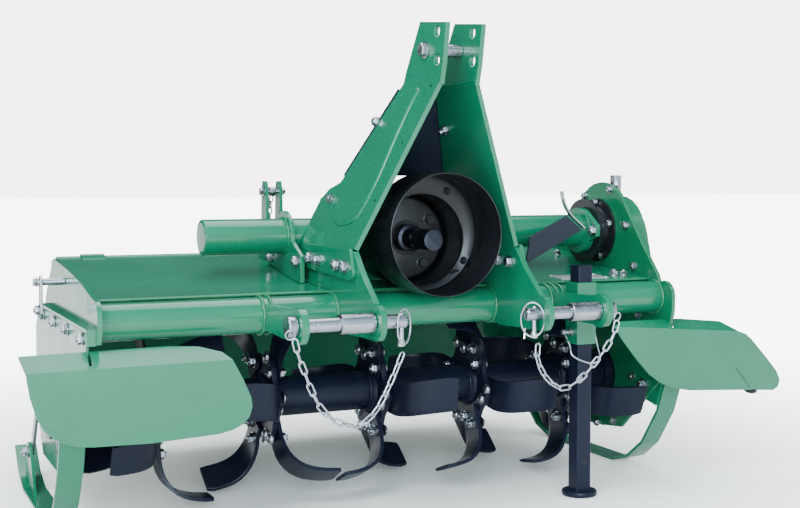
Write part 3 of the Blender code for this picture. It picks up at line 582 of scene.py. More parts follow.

# weld beads where plates meet the tubes
g = Geo()
for x, t in ((-X_IN - T_HITCH, -1), (-X_IN, 1), (X_IN, -1), (X_IN + T_HITCH, 1),
             (-0.285, -1), (-0.273, 1), (0.262, -1), (0.274, 1)):
    g.weld(circle((x + t * 0.0008, YF, ZF), (1, 0, 0), R_TUBE + 0.0010, 84), 0.0028, True)
for x, t in ((X_LEFT, 1), (X_RIGHT, -1)):
    g.weld(circle((x + t * 0.0010, YF, ZF), (1, 0, 0), R_TUBE + 0.0008, 84), 0.0030, True)
for s in (-1, 1):
    for x in (0.168, 0.176):
        g.weld(circle((s * x, YU, ZI), (1, 0, 0), R_UPPER + 0.0008, 84), 0.0026, True)
g.weld(circle((0.4575, YU, ZI), (1, 0, 0), R_UPPER + 0.0010, 84), 0.0026, True)
piece("frame_weld_beads", g, WELD)
g = Geo()
for s in (-1, 1):
    for x in (X_IN - 0.0008, X_IN + T_HITCH + 0.0008):
        g.weld([(s * x, y, z) for y, z in [(-0.118 + 0.0022 * i, 0.3912 + 0.0022 * i * 0.072) for i in range(35)]
                + [(-0.040 + 0.0022 * i, 0.3955 + 0.0022 * i * 0.157) for i in range(44)]], 0.0020)
g.weld([(X_LEFT + 0.002 + 0.0035 * i, -0.1655, 0.3838) for i in range(300)], 0.0020)
piece("hood_weld_beads", g, WELD)

# ------------------------------------------------------------ mast details
SL = math.atan2(0.146 - 0.028, 0.730 - 0.458)


def on_slope(s, y, z, out=0.0):
    """Point on a mast plate's outer sloping face, out metres off it."""
    return Vector((s * (0.0367 + (0.730 - z) * 0.4338 + out * math.cos(SL)), y, z + out * math.sin(SL)))


def slope_pad(s, pts, thick, name, sink=0.0008):
    """Raised pressing on the sloping face: outline of (y, z) points."""
    bm = bmesh.new()
    rows = [(0.0, -sink), (0.0, thick * 0.25), (0.0012, thick * 0.62), (0.0030, thick * 0.90), (0.0055, thick)]
    cy = sum(p[0] for p in pts) / len(pts)
    cz = sum(p[1] for p in pts) / len(pts)
    n = len(pts)
    vs = []
    for inset_by, out in rows:
        row = []
        for i in range(n):
            a, p, b = Vector(pts[i - 1]), Vector(pts[i]), Vector(pts[(i + 1) % n])
            t = (b - a).normalized()
            nn = Vector((-t.y, t.x))
            if nn.dot(Vector((cy, cz)) - p) < 0:
                nn = -nn
            q = p + nn * inset_by
            row.append(bm.verts.new(on_slope(s, q.x, q.y, out)))
        vs.append(row)
    for a, b in zip(vs, vs[1:]):
        for i in range(n):
            bm.faces.new((a[i], a[(i + 1) % n], b[(i + 1) % n], b[i]))
    bm.faces.new(vs[0])
    bm.faces.new(vs[-1])
    g = Geo()
    g.take(bm)
    return piece(name, g, GREEN, sharp=60)


front = [(-0.2779, 0.7200), (-0.2690, 0.7000), (-0.2600, 0.6501), (-0.2546, 0.5844), (-0.2480, 0.5516), (-0.2390, 0.5236)]
bottom = [(-0.2270, 0.5080), (-0.2050, 0.4995), (-0.1796, 0.4960), (-0.1500, 0.4975), (-0.1290, 0.5060), (-0.1180, 0.5220)]
back = [(-0.1240, 0.5500), (-0.1560, 0.6050), (-0.1880, 0.6550), (-0.2200, 0.7020), (-0.2420, 0.7230), (-0.2620, 0.7270)]
outline = [tuple(p) for p in (Vector((p.x, p.y)) for p in
                              [Vector((q.x, q.y, 0)) for q in curve([(a, b, 0) for a, b in front + bottom + back + front[:1]], 0.008)][:-1])]
for s, nm in ((-1, "left_mast_pressing"), (1, "right_mast_pressing")):
    slope_pad(s, outline, 0.0034, nm)

# bolted feet of the mast plates on the hitch plates
tab = round_poly([(-0.046, 0.462), (-0.050, 0.424), (-0.072, 0.4185), (-0.268, 0.4105), (-0.284, 0.420), (-0.268, 0.462)],
                 [0.002, 0.012, 0.012, 0.016, 0.016, 0.002])
for s, nm in ((-1, "left_mast_foot"), (1, "right_mast_foot")):
    g = Geo()
    g.prism([(y, z) for y, z in tab], "X", s * 0.1562, s * 0.1622, 0.0016, 3)
    piece(nm, g, GREEN)
    g = Geo()
    for k, (y, z) in enumerate(((-0.091, 0.438), (-0.128, 0.4355), (-0.214, 0.433), (-0.250, 0.432))):
        g.bolt((s * 0.1622, y, z), (s, 0, 0), 0.0095, turn=0.4 + k * 0.7, stud=0.003)
        g.bolt((s * 0.146, y, z), (-s, 0, 0), 0.0095, turn=0.1 + k * 0.9)
    g.bolt((s * 0.1765, -0.060, 0.430), (s, 0, 0), 0.0095, turn=0.5, stud=0.003)
    g.bolt((s * 0.1765, 0.080, 0.430), (s, 0, 0), 0.0095, turn=0.2, stud=0.003)
    piece(nm + "_bolts", g, ZINC)

g = Geo()
g.ring((-0.0277, -0.290, 0.785), (0.0277, -0.290, 0.785), 0.011, 0.0062, 48)
g.rod((-0.030, -0.290, 0.785), (0.030, -0.290, 0.785), 0.0060, 24)
piece("top_link_spacer_body", g, ZINC_TURNED, replaces=("top_link_spacer",))
g = Geo()
g.bolt((-0.036, -0.290, 0.785), (-1, 0, 0), 0.012, turn=0.3)
g.bolt((0.036, -0.290, 0.785), (1, 0, 0), 0.012, turn=0.6, stud=0.004)
# bolts through the rear panel's folded edges
g.bolt(on_slope(-1, -0.1520, 0.6730, 0.0006), (-math.cos(SL), 0, math.sin(SL)), 0.0085, turn=0.4, stud=0.003)
g.bolt(on_slope(-1, -0.0800, 0.5400, 0.0006), (-math.cos(SL), 0, math.sin(SL)), 0.0080, turn=0.9, stud=0.003)
g.bolt(on_slope(1, -0.1520, 0.6730, 0.0006), (math.cos(SL), 0, math.sin(SL)), 0.0085, turn=0.4, stud=0.003)
g.bolt(on_slope(1, -0.1780, 0.6640, -0.0065), (-math.cos(SL), 0, -math.sin(SL)), 0.0085, turn=0.9, stud=0.007)
g.bolt(on_slope(1, -0.1000, 0.5300, -0.0065), (-math.cos(SL), 0, -math.sin(SL)), 0.0085, turn=0.2, stud=0.007)
piece("mast_bolts", g, ZINC)
# small plugged holes near the mast plates' front edges
g = Geo()
for s in (-1, 1):
    for y, z in ((-0.3158, 0.7250), (-0.2914, 0.6341), (-0.272, 0.540)):
        p = on_slope(s, y, z, -0.0002)
        g.lathe([(0, 0), (0.0022, 0), (0.0026, 0.0004), (0, 0.0005)], p, (s * math.cos(SL), 0, math.sin(SL)), 16)
piece("mast_small_holes", g, BLACK)

# ---------------------------------------------------- input shield and gear
g = Geo()
R = R_SHIELD
# outer wall, rolled rim, inner wall with a shallow step
g.lathe([(R - 0.0032, 0.0902), (R, 0.0902), (R, 0.050), (R + 0.0000, 0.0035), (R + 0.0000, 0.0012), (R - 0.0004, 0.0003),
         (R - 0.0012, 0.0), (R - 0.0020, 0.0003), (R - 0.0026, 0.0014), (R - 0.0026, 0.040), (R - 0.0034, 0.0412),
         (R - 0.0034, 0.0902)], (0, Y_RIM, Z_SHIELD), (0, 1, 0), 128, closed=True)
piece("input_shield_drum", g, PLASTIC, replaces=("input_shaft_shield",), sharp=40)
# back wall of the drum, dished towards the shaft hole, and the collar behind it
bm = bmesh.new()
rows = []
N = 128
for k, (f, y) in enumerate(((0.0, -0.2105), (0.12, -0.2115), (0.5, -0.2095), (0.88, -0.2060), (0.97, -0.2045), (1.0, -0.2020),
                            (1.0, -0.1900), (1.0, -0.0856))):
    row = []
    for i in range(N):
        a = 2 * math.pi * i / N
        r0, r1 = R - 0.0030, 0.0772
        x0, z0 = r0 * math.cos(a), Z_SHIELD + r0 * math.sin(a)
        x1, z1 = r1 * math.cos(a), ZI + r1 * math.sin(a)
        row.append(bm.verts.new((x0 + (x1 - x0) * f, y, z0 + (z1 - z0) * f)))
    rows.append(row)
back_rows = []
for k, (f, y) in enumerate(((1.0, -0.0856), (1.0, -0.1880), (0.90, -0.2005), (0.0, -0.2080))):
    row = []
    for i in range(N):
        a = 2 * math.pi * i / N
        r0, r1 = R - 0.0030, 0.0802
        x0, z0 = r0 * math.cos(a), Z_SHIELD + r0 * math.sin(a)
        x1, z1 = r1 * math.cos(a), ZI + r1 * math.sin(a)
        row.append(bm.verts.new((x0 + (x1 - x0) * f, y, z0 + (z1 - z0) * f)))
    back_rows.append(row)
rows += back_rows
for a, b in zip(rows, rows[1:] + rows[:1]):
    for i in range(N):
        bm.faces.new((a[i], a[(i + 1) % N], b[(i + 1) % N], b[i]))
g = Geo()
g.take(bm)
# drain notch and two screws in the back wall
g.box((0.050, -0.2135, 0.4145), (0.066, -0.2095, 0.4185), 0.0008)
for a in (60, 150, 240, 330):
    g.bolt((0.088 * math.cos(math.radians(a)), -0.2105, 0.478 + 0.088 * math.sin(math.radians(a))), (0, -1, 0), 0.006, turn=a)
piece("input_shield_back", g, PLASTIC, sharp=40)

g = Geo()
# case with rounded corners, side flanges for the tubes, ribs, front nose, rear cover
g.box((-0.0745, -0.0845, 0.4228), (0.0745, 0.1045, 0.5445), 0.014, 4)
for s in (-1, 1):
    g.lathe([(0, 0), (0.060, 0), (0.060, 0.006), (0.0585, 0.0085), (0.047, 0.012), (0.047, 0.0135), (0, 0.0135)],
            (s * 0.0750, YU, ZI), (-s, 0, 0), 64)
    for y in (-0.060, 0.010, 0.080):
        g.prism([(y - 0.004, 0.4300), (y + 0.004, 0.4300), (y + 0.003, 0.5380), (y - 0.003, 0.5380)], "X",
                s * 0.0640, s * 0.0749, 0.0015, 2)
for x in (-0.040, 0.0, 0.040):
    g.prism([(-0.074, 0.541), (0.094, 0.541), (0.090, 0.5449), (-0.070, 0.5449)], "X", x - 0.004, x + 0.004, 0.0010, 2)
g.lathe([(0.0205, 0.0), (0.0300, -0.0), (0.0312, -0.0010), (0.0312, -0.0030), (0.0680, -0.0), (0.0720, 0.0010),
         (0.0735, 0.0030), (0.0735, 0.016), (0.0690, 0.020), (0.0600, 0.056), (0.0205, 0.056)],
        (0, -0.137 + 0.0002, ZI), (0, 1, 0), 96, closed=True)
g.lathe([(0, 0), (0.040, 0), (0.0495, -0.002), (0.0500, -0.004), (0.0500, -0.0135), (0, -0.0135)], (0, 0.1178, ZI), (0, 1, 0), 64)
g.lathe([(0, 0), (0.012, 0), (0.012, 0.010), (0.016, 0.010), (0.016, 0.016), (0, 0.016)], (0.030, 0.030, 0.5300), (0, 0, 1), 6)
piece("gearbox_case", g, CAST, replaces=("gearbox",), sharp=42)
g = Geo()
for a in (35, 125, 215, 305):
    g.bolt((0.0545 * math.cos(math.radians(a)), -0.1370, ZI + 0.0545 * math.sin(math.radians(a))), (0, -1, 0), 0.0095, turn=a * 0.3)
piece("gearbox_front_bolts", g, BLACK)
g = Geo()
for a in range(0, 360, 60):
    g.bolt((0.043 * math.cos(math.radians(a)), 0.1176, ZI + 0.043 * math.sin(math.radians(a))), (0, 1, 0), 0.0065, turn=a)
for s in (-1, 1):
    for a in range(30, 390, 60):
        g.bolt((s * 0.0750 + s * 0.0, YU + 0.0525 * math.cos(math.radians(a)), ZI + 0.0525 * math.sin(math.radians(a))),
               (s, 0, 0), 0.0065, turn=a)
piece("gearbox_bolts", g, ZINC)

# splined input shaft with a turned end and an oil seal
bm = bmesh.new()
prof = []
for i in range(6 * 8):
    a = 2 * math.pi * i / 48
    tooth = (i % 8) in (0, 1, 2, 3, 4)
    prof.append(((0.0175 if tooth else 0.0150) * math.cos(a), (0.0175 if tooth else 0.0150) * math.sin(a)))
g = Geo()
g.prism([(x, ZI + z) for x, z in prof], "Y", -0.2478, -0.1550, 0.0, 1)
g.lathe([(0, 0), (0.0135, 0), (0.0150, 0.0010), (0.0175, 0.0012), (0.0175, 0.0060), (0.0155, 0.0070), (0.0155, 0.0100), (0, 0.0100)],
        (0, -0.249, ZI), (0, 1, 0), 48)
g.lathe([(0, 0), (0.0175, 0), (0.0180, 0.002), (0.0180, 0.030), (0.0235, 0.032), (0.0240, 0.034), (0.0240, 0.0517), (0, 0.0517)],
        (0, -0.189, ZI), (0, 1, 0), 64)
ob = piece("input_shaft_splined", g, SHADED_SHAFT_STEEL, "input_shaft", ("input_shaft",), sharp=40)
g = Geo()
g.lathe([(0.0202, 0), (0.0300, 0), (0.0300, 0.006), (0.0202, 0.006)], (0, -0.1369, ZI), (0, 1, 0), 64, closed=True)
piece("input_shaft_seal", g, PLASTIC)

# -------------------------------------------------------------- hitch pins
for head, tip, s, nm in ((-0.285, -0.100, 1, "left_hitch_pin"), (0.274, 0.118, -1, "right_hitch_pin")):
    g = Geo()
    n = abs(tip - head)
    g.lathe([(0, -0.016), (0.0150, -0.016), (0.0163, -0.0148), (0.0165, -0.0135), (0.0165, -0.0016), (0.0152, -0.0004),
             (R_PIN, -0.0004), (R_PIN, n * 0.16), (0.0104, n * 0.165), (0.0104, n * 0.175), (R_PIN, n * 0.18),
             (R_PIN, n - 0.003), (R_PIN - 0.003, n), (0, n)], (head, YP, ZP), (s, 0, 0), 64)
    piece(nm + "_turned", g, ZINC_TURNED, replaces=(nm,), sharp=40)
for xa, xb, nm in ((-0.214, -0.157, "left_hitch_sleeve"), (0.205, 0.2615, "right_hitch_sleeve")):
    g = Geo()
    g.ring((xa, YP, ZP), (xb, YP, ZP), 0.016, R_PIN + 0.0004, 64, 0.0010)
    piece(nm + "_turned", g, ZINC_TURNED, replaces=(nm,), sharp=40)


def chain(name, pts, node, pitch=0.0176, wire=0.0015, hw=0.0040):
    route = curve(pts, 0.002)
    cum = [0.0]
    for a, b in zip(route, route[1:]):
        cum.append(cum[-1] + (b - a).length)
    n = round(cum[-1] / pitch)
    step = cum[-1] / n
    hl = step / 2 + wire - hw
    g = Geo()

    def at(sv):
        sv = min(max(sv, 0.0), cum[-1])
        for i in range(1, len(cum)):
            if cum[i] >= sv:
                f = (sv - cum[i - 1]) / max(1e-9, cum[i] - cum[i - 1])
                return route[i - 1].lerp(route[i], f)
        return route[-1]
    for k in range(n):
        c = at((k + 0.5) * step)
        t = (at((k + 0.5) * step + 0.004) - at((k + 0.5) * step - 0.004)).normalized()
        side = t.cross(Vector((0, 1, 0))).normalized()
        if k % 2:
            side = t.cross(side).normalized()
        # lie each link a little off square
        w = side * math.cos(0.45) + t.cross(side) * math.sin(0.45)
        loop = []
        for i in range(9):
            a = -math.pi / 2 + math.pi * i / 8
            loop.append(c + t * (hl + hw * math.cos(a)) + w * (hw * math.sin(a)))
        for i in range(9):
            a = math.pi / 2 + math.pi * i / 8
            loop.append(c + t * (-hl + hw * math.cos(a)) + w * (hw * math.sin(a)))
        g.tube(loop, wire, 8, True)
    piece(name, g, CHAIN, replaces=(node,), sharp=60)


CHAIN_L = [(-0.296, -0.3765, 0.334), (-0.291, -0.377, 0.312), (-0.283, -0.3776, 0.290), (-0.266, -0.3776, 0.248),
           (-0.245, -0.3776, 0.217), (-0.214, -0.377, 0.199), (-0.187, -0.375, 0.198), (-0.158, -0.372, 0.220),
           (-0.130, -0.369, 0.268), (-0.113, -0.366, 0.302)]
CHAIN_R = [(0.284, -0.3765, 0.334), (0.272, -0.3776, 0.305), (0.245, -0.3776, 0.273), (0.209, -0.377, 0.240),
           (0.176, -0.375, 0.228), (0.148, -0.372, 0.246), (0.133, -0.369, 0.276), (0.134, -0.366, 0.302)]
chain("left_pin_chain_links", CHAIN_L, "left_pin_chain")
chain("right_pin_chain_links", CHAIN_R, "right_pin_chain")
g = Geo()
for pts, at_ in ((CHAIN_L, (4, 6)), (CHAIN_R, (3,))):
    for i in at_:
        a, b = Vector(pts[i]), Vector(pts[i + 1])
        t = (b - a).normalized()
        g.rod(a - t * 0.005, a + t * 0.005, 0.0042, 16)
# eyes that hold the chains on the pin heads
g.tube(circle((-0.3005, YP - 0.018, ZP - 0.010), (0.2, 0.9, 0.3), 0.0075, 28), 0.0014, 8, True)
g.tube(circle((0.2880, YP - 0.018, ZP - 0.010), (-0.2, 0.9, 0.3), 0.0075, 28), 0.0014, 8, True)
piece("pin_chain_ends", g, ZINC)

# lynch pins: peg with a shouldered head, and the sprung ring
for x, s, nm in ((-0.109, 1, "left_lynch_pin"), (0.135, -1, "right_lynch_pin")):
    g = Geo()
    g.lathe([(0, 0), (0.0040, 0.0), (0.0062, 0.0010), (0.0066, 0.0030), (0.0066, 0.0085), (0.0050, 0.0105), (0.0044, 0.0125),
             (0.0044, 0.0520), (0.0030, 0.0540), (0, 0.0545)], (x, YP, ZP - 0.0405), (0, 0, 1), 32)
    c = Vector((x + s * 0.004, YP - 0.002, ZP - 0.009))
    axis = Vector((s * 0.55, -0.83, 0.0)).normalized()
    ring_pts = []
    e = Vector((0, 0, 1)).cross(axis).normalized()
    for i in range(44):
        a = 2 * math.pi * i / 44
        ring_pts.append(c + e * (0.0195 * math.cos(a)) + Vector((0, 0, 1)) * (0.0285 * math.sin(a)))
    g.tube(ring_pts, 0.0016, 10, True)
    piece(nm + "_ring", g, ZINC, replaces=(nm,), sharp=50)

# ------------------------------------------------------------------- stand
g = Geo()
v = 0.015
g.box((LEG_X - v, LEG_Y - v, 0.008), (LEG_X + v, LEG_Y + v, 0.302), 0.0028, 4)
bm = bmesh.new()
outer = round_poly([(-v, -v), (v, -v), (v, v), (-v, v)], 0.004, 4)
inner = round_poly([(-v + 0.003, -v + 0.003), (v - 0.003, -v + 0.003), (v - 0.003, v - 0.003), (-v + 0.003, v - 0.003)], 0.003, 4)
rows = [[(p, z) for p in pts] for pts, z in ((outer, 0.298), (outer, 0.4190), (outer, 0.4200), (inner, 0.4200), (inner, 0.300))]
vs = [[bm.verts.new((LEG_X + p[0], LEG_Y + p[1], z)) for p, z in row] for row in rows]
for a, b in zip(vs, vs[1:]):
    for i in range(len(a)):
        j = (i + 1) % len(a)
        bm.faces.new((a[i], a[j], b[j], b[i]))
bm.faces.new(vs[0])
bm.faces.new(vs[-1])
g.take(bm)
g.lathe([(0, 0), (0.0285, 0), (0.0312, 0.0008), (0.0320, 0.0030), (0.0320, 0.0068), (0.0310, 0.0090), (0.0285, 0.0100), (0.0160, 0.0108),
         (0, 0.0108)], (LEG_X, LEG_Y, 0.0), (0, 0, 1), 64)
piece("stand_leg_tube", g, NAVY, "stand_leg", ("stand_leg",), sharp=40)
g = Geo()
for z in (0.062,):
    for dx, dy, nx, ny in ((0, -v, 0, -1), (0, v, 0, 1)):
        g.lathe([(0, -0.0006), (0.0050, -0.0006), (0.0052, 0.0002), (0, 0.0003)], (LEG_X + dx, LEG_Y + dy, z), (nx, ny, 0), 24)
piece("stand_leg_holes", g, PLASTIC, "stand_leg")
g = Geo()
xl = LEG_X - 0.020
g.lathe([(0, 0), (0.0040, 0), (0.0045, 0.0008), (0.0045, 0.0160), (0.0072, 0.0165), (0.0075, 0.0172), (0.0075, 0.0197), (0, 0.0197)],
        (xl - 0.020, LEG_Y, 0.300), (1, 0, 0), 24)
g.rod((LEG_X + 0.0202, LEG_Y, 0.300), (LEG_X + 0.0300, LEG_Y, 0.300), 0.0045, 20)
wire = curve([(xl - 0.017, LEG_Y - 0.004, 0.298), (xl - 0.018, LEG_Y - 0.022, 0.280), (xl - 0.017, LEG_Y - 0.030, 0.262),
              (xl + 0.004, LEG_Y - 0.036, 0.250), (LEG_X + 0.006, LEG_Y - 0.034, 0.246), (LEG_X + 0.026, LEG_Y - 0.024, 0.252),
              (LEG_X + 0.029, LEG_Y - 0.012, 0.270), (LEG_X + 0.0285, LEG_Y - 0.003, 0.296)], 0.003)
g.tube(wire, 0.0016, 10)
piece("stand_lock_wire", g, ZINC, replaces=("stand_lock_pin",))
g = Geo()
g.weld(circle((LEG_X - 0.0208, YF - 0.002, ZF), (1, 0, 0), R_TUBE + 0.0012, 60), 0.0026, True)
g.weld(circle((LEG_X + 0.0208, YF - 0.002, ZF), (1, 0, 0), R_TUBE + 0.0012, 60), 0.0026, True)
piece("stand_socket_welds", g, WELD)

# ------------------------------------------------------------------- rotor
RB = 0.167
ROT = Vector((0, 0, ZR))


def blade(g, x, s, angle):
    """C-shaped tine: flat leg on the flange, curling round to lie along the shaft, edge ground thin."""
    # centre line in (along shaft, outwards)
    line = [Vector(p) for p in ((0.0, 0.048), (0.0, 0.070), (0.0, 0.090), (0.0015, 0.104), (0.0050, 0.118), (0.0110, 0.131),
                                (0.0190, 0.142), (0.0290, 0.1505), (0.0410, 0.1570), (0.0540, 0.1612), (0.0680, 0.1640),
                                (0.0800, 0.1655), (0.0925, 0.1660))]
    n = len(line)
    bm = bmesh.new()
    rows = []
    for i, p in enumerate(line):
        t = (line[min(i + 1, n - 1)] - line[max(i - 1, 0)]).normalized()
        nn = Vector((t.y, -t.x))                     # towards the tip side, inwards
        k = max(0.0, (p.y - 0.06) / 0.107)
        w = 0.0290 + 0.0030 * k
        back = 0.024 * k * k
        th = 0.0068
        if i == n - 1:
            w -= 0.0030
        # across the width: back edge square, leading edge ground to a thin bevel
        sect = [(-w, 0.0), (-w + 0.001, -0.0), (w - 0.012, 0.0), (w - 0.001, 0.0022), (w, 0.0034), (w - 0.001, 0.0046),
                (w - 0.012, th), (-w + 0.001, th), (-w, th - 0.001), (-w, 0.001)]
        row = []
        for wy, tt in sect:
            q = p + nn * tt
            row.append(bm.verts.new((x + s * (0.0005 + q.x), -wy + back, q.y)))
        rows.append(row)
    m = len(rows[0])
    for a, b in zip(rows, rows[1:]):
        for i in range(m):
            bm.faces.new((a[i], a[(i + 1) % m], b[(i + 1) % m], b[i]))
    bm.faces.new(rows[0])
    bm.faces.new(rows[-1])
    mm = Matrix.Translation(ROT) @ Matrix.Rotation(math.radians(angle), 4, "X")
    g.take(bm, mm)
    return mm


for n, (x, turn) in enumerate(zip(SET_X, SET_TURN)):
    g, gb = Geo(), Geo()
    # six-lobed flange with a hub
    lobes = []
    for i in range(120):
        a = 2 * math.pi * i / 120
        rr = 0.0775 + 0.0065 * math.cos(6 * (a - math.radians(turn + 90)))
        lobes.append((rr * math.cos(a), ZR + rr * math.sin(a)))
    g.prism(lobes, "X", x - 0.0050, x + 0.0050, 0.0010, 2)
    for s in (-1, 1):
        g.lathe([(0.0364, 0), (0.0440, 0), (0.0450, 0.0010), (0.0410, 0.0075), (0.0364, 0.0095)], (x + s * 0.0050, 0, ZR), (s, 0, 0), 64, closed=True)
        g.weld(circle((x + s * 0.0150, 0, ZR), (1, 0, 0), 0.0372, 90), 0.0024, True)
    for k in range(6):
        s = -1 if k % 2 else 1
        mm = blade(g, x + s * 0.0048, s, turn + 60 * k)
        for y, z in ((-0.012, 0.0655), (0.013, 0.0830)):
            p = mm @ Vector((x + s * 0.0118, y, z))
            q = mm @ Vector((x - s * 0.0050, y, z))
            gb.bolt(p, (s, 0, 0), 0.0100, turn=k + z * 30, stud=0.0045)
            gb.bolt(q, (-s, 0, 0), 0.0100, turn=k + z * 50, dome=True)
    node = "blade_set_%d" % (n + 1)
    piece(node + "_tines", g, NAVY, "rotor", (node,), sharp=42)
    piece(node + "_bolts", gb, ZINC, "rotor")

# bearing at the left end of the rotor
xb = X_PANEL - 0.005
g = Geo()
g.lathe([(0, 0.030), (0.0180, 0.030), (0.0200, 0.0280), (0.0390, 0.0290), (0.0420, 0.0270), (0.0425, 0.0140), (0.0460, 0.0120),
         (0.0600, 0.0115), (0.0620, 0.0095), (0.0620, 0.0004), (0, 0.0004)], (xb, 0, ZR), (-1, 0, 0), 72)
piece("left_rotor_bearing_housing", g, BLACK, replaces=("left_rotor_bearing",), sharp=40)
g = Geo()
for a in range(45, 405, 90):
    g.bolt((xb - 0.0116, 0.0525 * math.cos(math.radians(a)), ZR + 0.0525 * math.sin(math.radians(a))), (-1, 0, 0), 0.0085, turn=a)
g.bolt((xb - 0.0300, 0, ZR), (-1, 0, 0), 0.0100, turn=0.4)
# bolts of the side panel: to the shelf above, and two at the front
for y in (-0.182, -0.049, 0.080, 0.200):
    g.bolt((xb - 0.0002, y, 0.328), (-1, 0, 0), 0.0095, turn=y * 20, stud=0.003)
for y, z in ((-0.176, 0.262), (-0.176, 0.230), (0.130, 0.190)):
    g.bolt((xb - 0.0002 - (0.0052 if z < 0.25 and y < 0 else 0.0), y, z), (-1, 0, 0), 0.0090, turn=z * 20, stud=0.003)
g.bolt((-0.6035, 0.215, 0.074), (-1, 0, 0), 0.0100, turn=0.3, stud=0.004)
g.bolt((-0.5980 - 0.0052 + 0.0052, 0.130, 0.190), (-1, 0, 0), 0.0100, turn=0.3, stud=0.004)
g.bolt((-0.6032, 0.047, 0.352), (-1, 0, 0), 0.0085, turn=0.8, stud=0.003)
g.bolt((-0.6062, 0.047, 0.400), (-1, 0, 0), 0.0080, turn=0.1)
piece("left_side_bolts", g, ZINC)
# ---------------------------------------------------- chain case hardware
g = Geo()
case_bolts = [(0.005 + 0.0895 * math.cos(math.radians(a)), ZI + 0.0895 * math.sin(math.radians(a))) for a in (50, 112, 172)] + \
    [(-0.112, 0.405), (-0.150, 0.360), (-0.128, 0.312), (-0.1165, 0.240), (-0.1105, 0.187), (-0.095, 0.134), (-0.050, 0.088),
     (0.010, 0.074), (0.070, 0.100), (0.105, 0.150), (0.112, 0.240), (0.105, 0.320), (0.101, 0.400)]
for k, (y, z) in enumerate(case_bolts):
    g.bolt((X_RIGHT, y, z), (-1, 0, 0), 0.0078, turn=k * 0.8, stud=0.002)
    inside = abs(y) < 0.13 and not (k in (3, 4))
    g.bolt((X_RIGHT + T_SIDE + (0.0043 if inside else 0.0), y, z), (1, 0, 0), 0.0078, turn=k * 0.5)
g.bolt((X_RIGHT, -0.146, 0.173), (-1, 0, 0), 0.0125, turn=0.2, stud=0.004)
g.bolt((X_RIGHT + T_SIDE + 0.0063, -0.146, 0.205), (1, 0, 0), 0.0105, turn=0.2)
g.bolt((X_RIGHT + T_SIDE + 0.0203 + 0.0003, 0.270, 0.062), (1, 0, 0), 0.0100, turn=0.5)
g.bolt((X_RIGHT + T_SIDE + 0.0203 + 0.0003, 0.270, 0.303), (1, 0, 0), 0.0085, turn=0.9)
piece("chain_case_bolts", g, ZINC)
g = Geo()
g.lathe([(0, 0), (0.011, 0), (0.011, 0.030), (0, 0.030)], (0.532, -0.012, ZI + 0.0702), (0, 0, 1), 32)
g.box((0.5235, -0.0205, ZI + 0.0985), (0.5405, -0.0035, ZI + 0.1118), 0.0016, 3)
piece("filler_plug_head", g, ZINC, replaces=("chain_case_filler_plug",))
g = Geo()
g.lathe([(0.0330, 0.0003), (0.0638, 0.0003), (0.0640, 0.004), (0.0630, 0.0065), (0.0500, 0.0085), (0.0500, 0.0290), (0.0580, 0.0310),
         (0.0640, 0.0330), (0.0640, 0.0372), (0.0330, 0.0372)], (0.470, YU, ZI), (1, 0, 0), 80, closed=True)
piece("drive_bearing_disc", g, BLACK, replaces=("drive_bearing_flange",), sharp=40)
g = Geo()
for y, z in ((-0.044, ZI + 0.001), (0.062, ZI)):
    g.bolt((0.4578, y, z), (-1, 0, 0), 0.0100, turn=y * 9, stud=0.003)
for a in (20, 95, 165, 245, 315):
    g.bolt((0.4985, YU + 0.0570 * math.cos(math.radians(a)), ZI + 0.0570 * math.sin(math.radians(a))), (-1, 0, 0), 0.0070, turn=a)
piece("drive_flange_bolts", g, ZINC)
g = Geo()
hk = strip([(0.3690, 0.5520), (0.3705, 0.5410), (0.3745, 0.5280), (0.3805, 0.5165), (0.3880, 0.5065), (0.3975, 0.4975),
            (0.4095, 0.4880), (0.4215, 0.4780)], 0.0030)
g.prism(hk, "Y", -0.0685, -0.0575, 0.0008, 2)
piece("shaft_rest_hook_strip", g, ZINC, replaces=("shaft_rest_hook",))

# hinge knuckles of the rear board, its stiffeners and the hold-up chain
g = Geo()
for x in (-0.480, -0.250, 0.0, 0.220, 0.430):
    g.ring((x - 0.022, YH, ZH), (x + 0.022, YH, ZH), 0.0118, 0.0088, 32)
    g.prism([(0.196, 0.4282), (0.222, 0.4355), (0.222, 0.4328), (0.196, 0.4255)], "X", x - 0.022, x + 0.022, 0.0006, 1)
piece("rear_hinge_knuckles", g, GREEN)
g = Geo()
rb_path = [(0.240, 0.4215), (0.2870, 0.4040), (0.3485, 0.3530), (0.3990, 0.2515), (0.4290, 0.1520), (0.4560, 0.1170)]
for x in (-0.350, -0.150, 0.080, 0.300):
    rib = strip(rb_path[1:5], 0.0050)
    g.prism(rib, "X", x - 0.012, x + 0.012, 0.0018, 2)
g.tube([(-0.543 + 0.02 * i, 0.4532, 0.1148) for i in range(53)], 0.0044, 12)
piece("rear_board_stiffeners", g, GREEN, "rear_board", sharp=40)
g = Geo()
g.bolt((-0.1675, 0.150, 0.552), (-1, 0, 0), 0.008, turn=0.2)
g.bolt((-0.1325, 0.150, 0.552), (1, 0, 0), 0.008, turn=0.7, stud=0.003)
g.rod((-0.1660, 0.150, 0.552), (-0.1340, 0.150, 0.552), 0.0042, 20)
g.ring((-0.1560, 0.150, 0.552), (-0.1440, 0.150, 0.552), 0.0090, 0.0044, 32)
piece("rear_bracket_pin", g, ZINC)


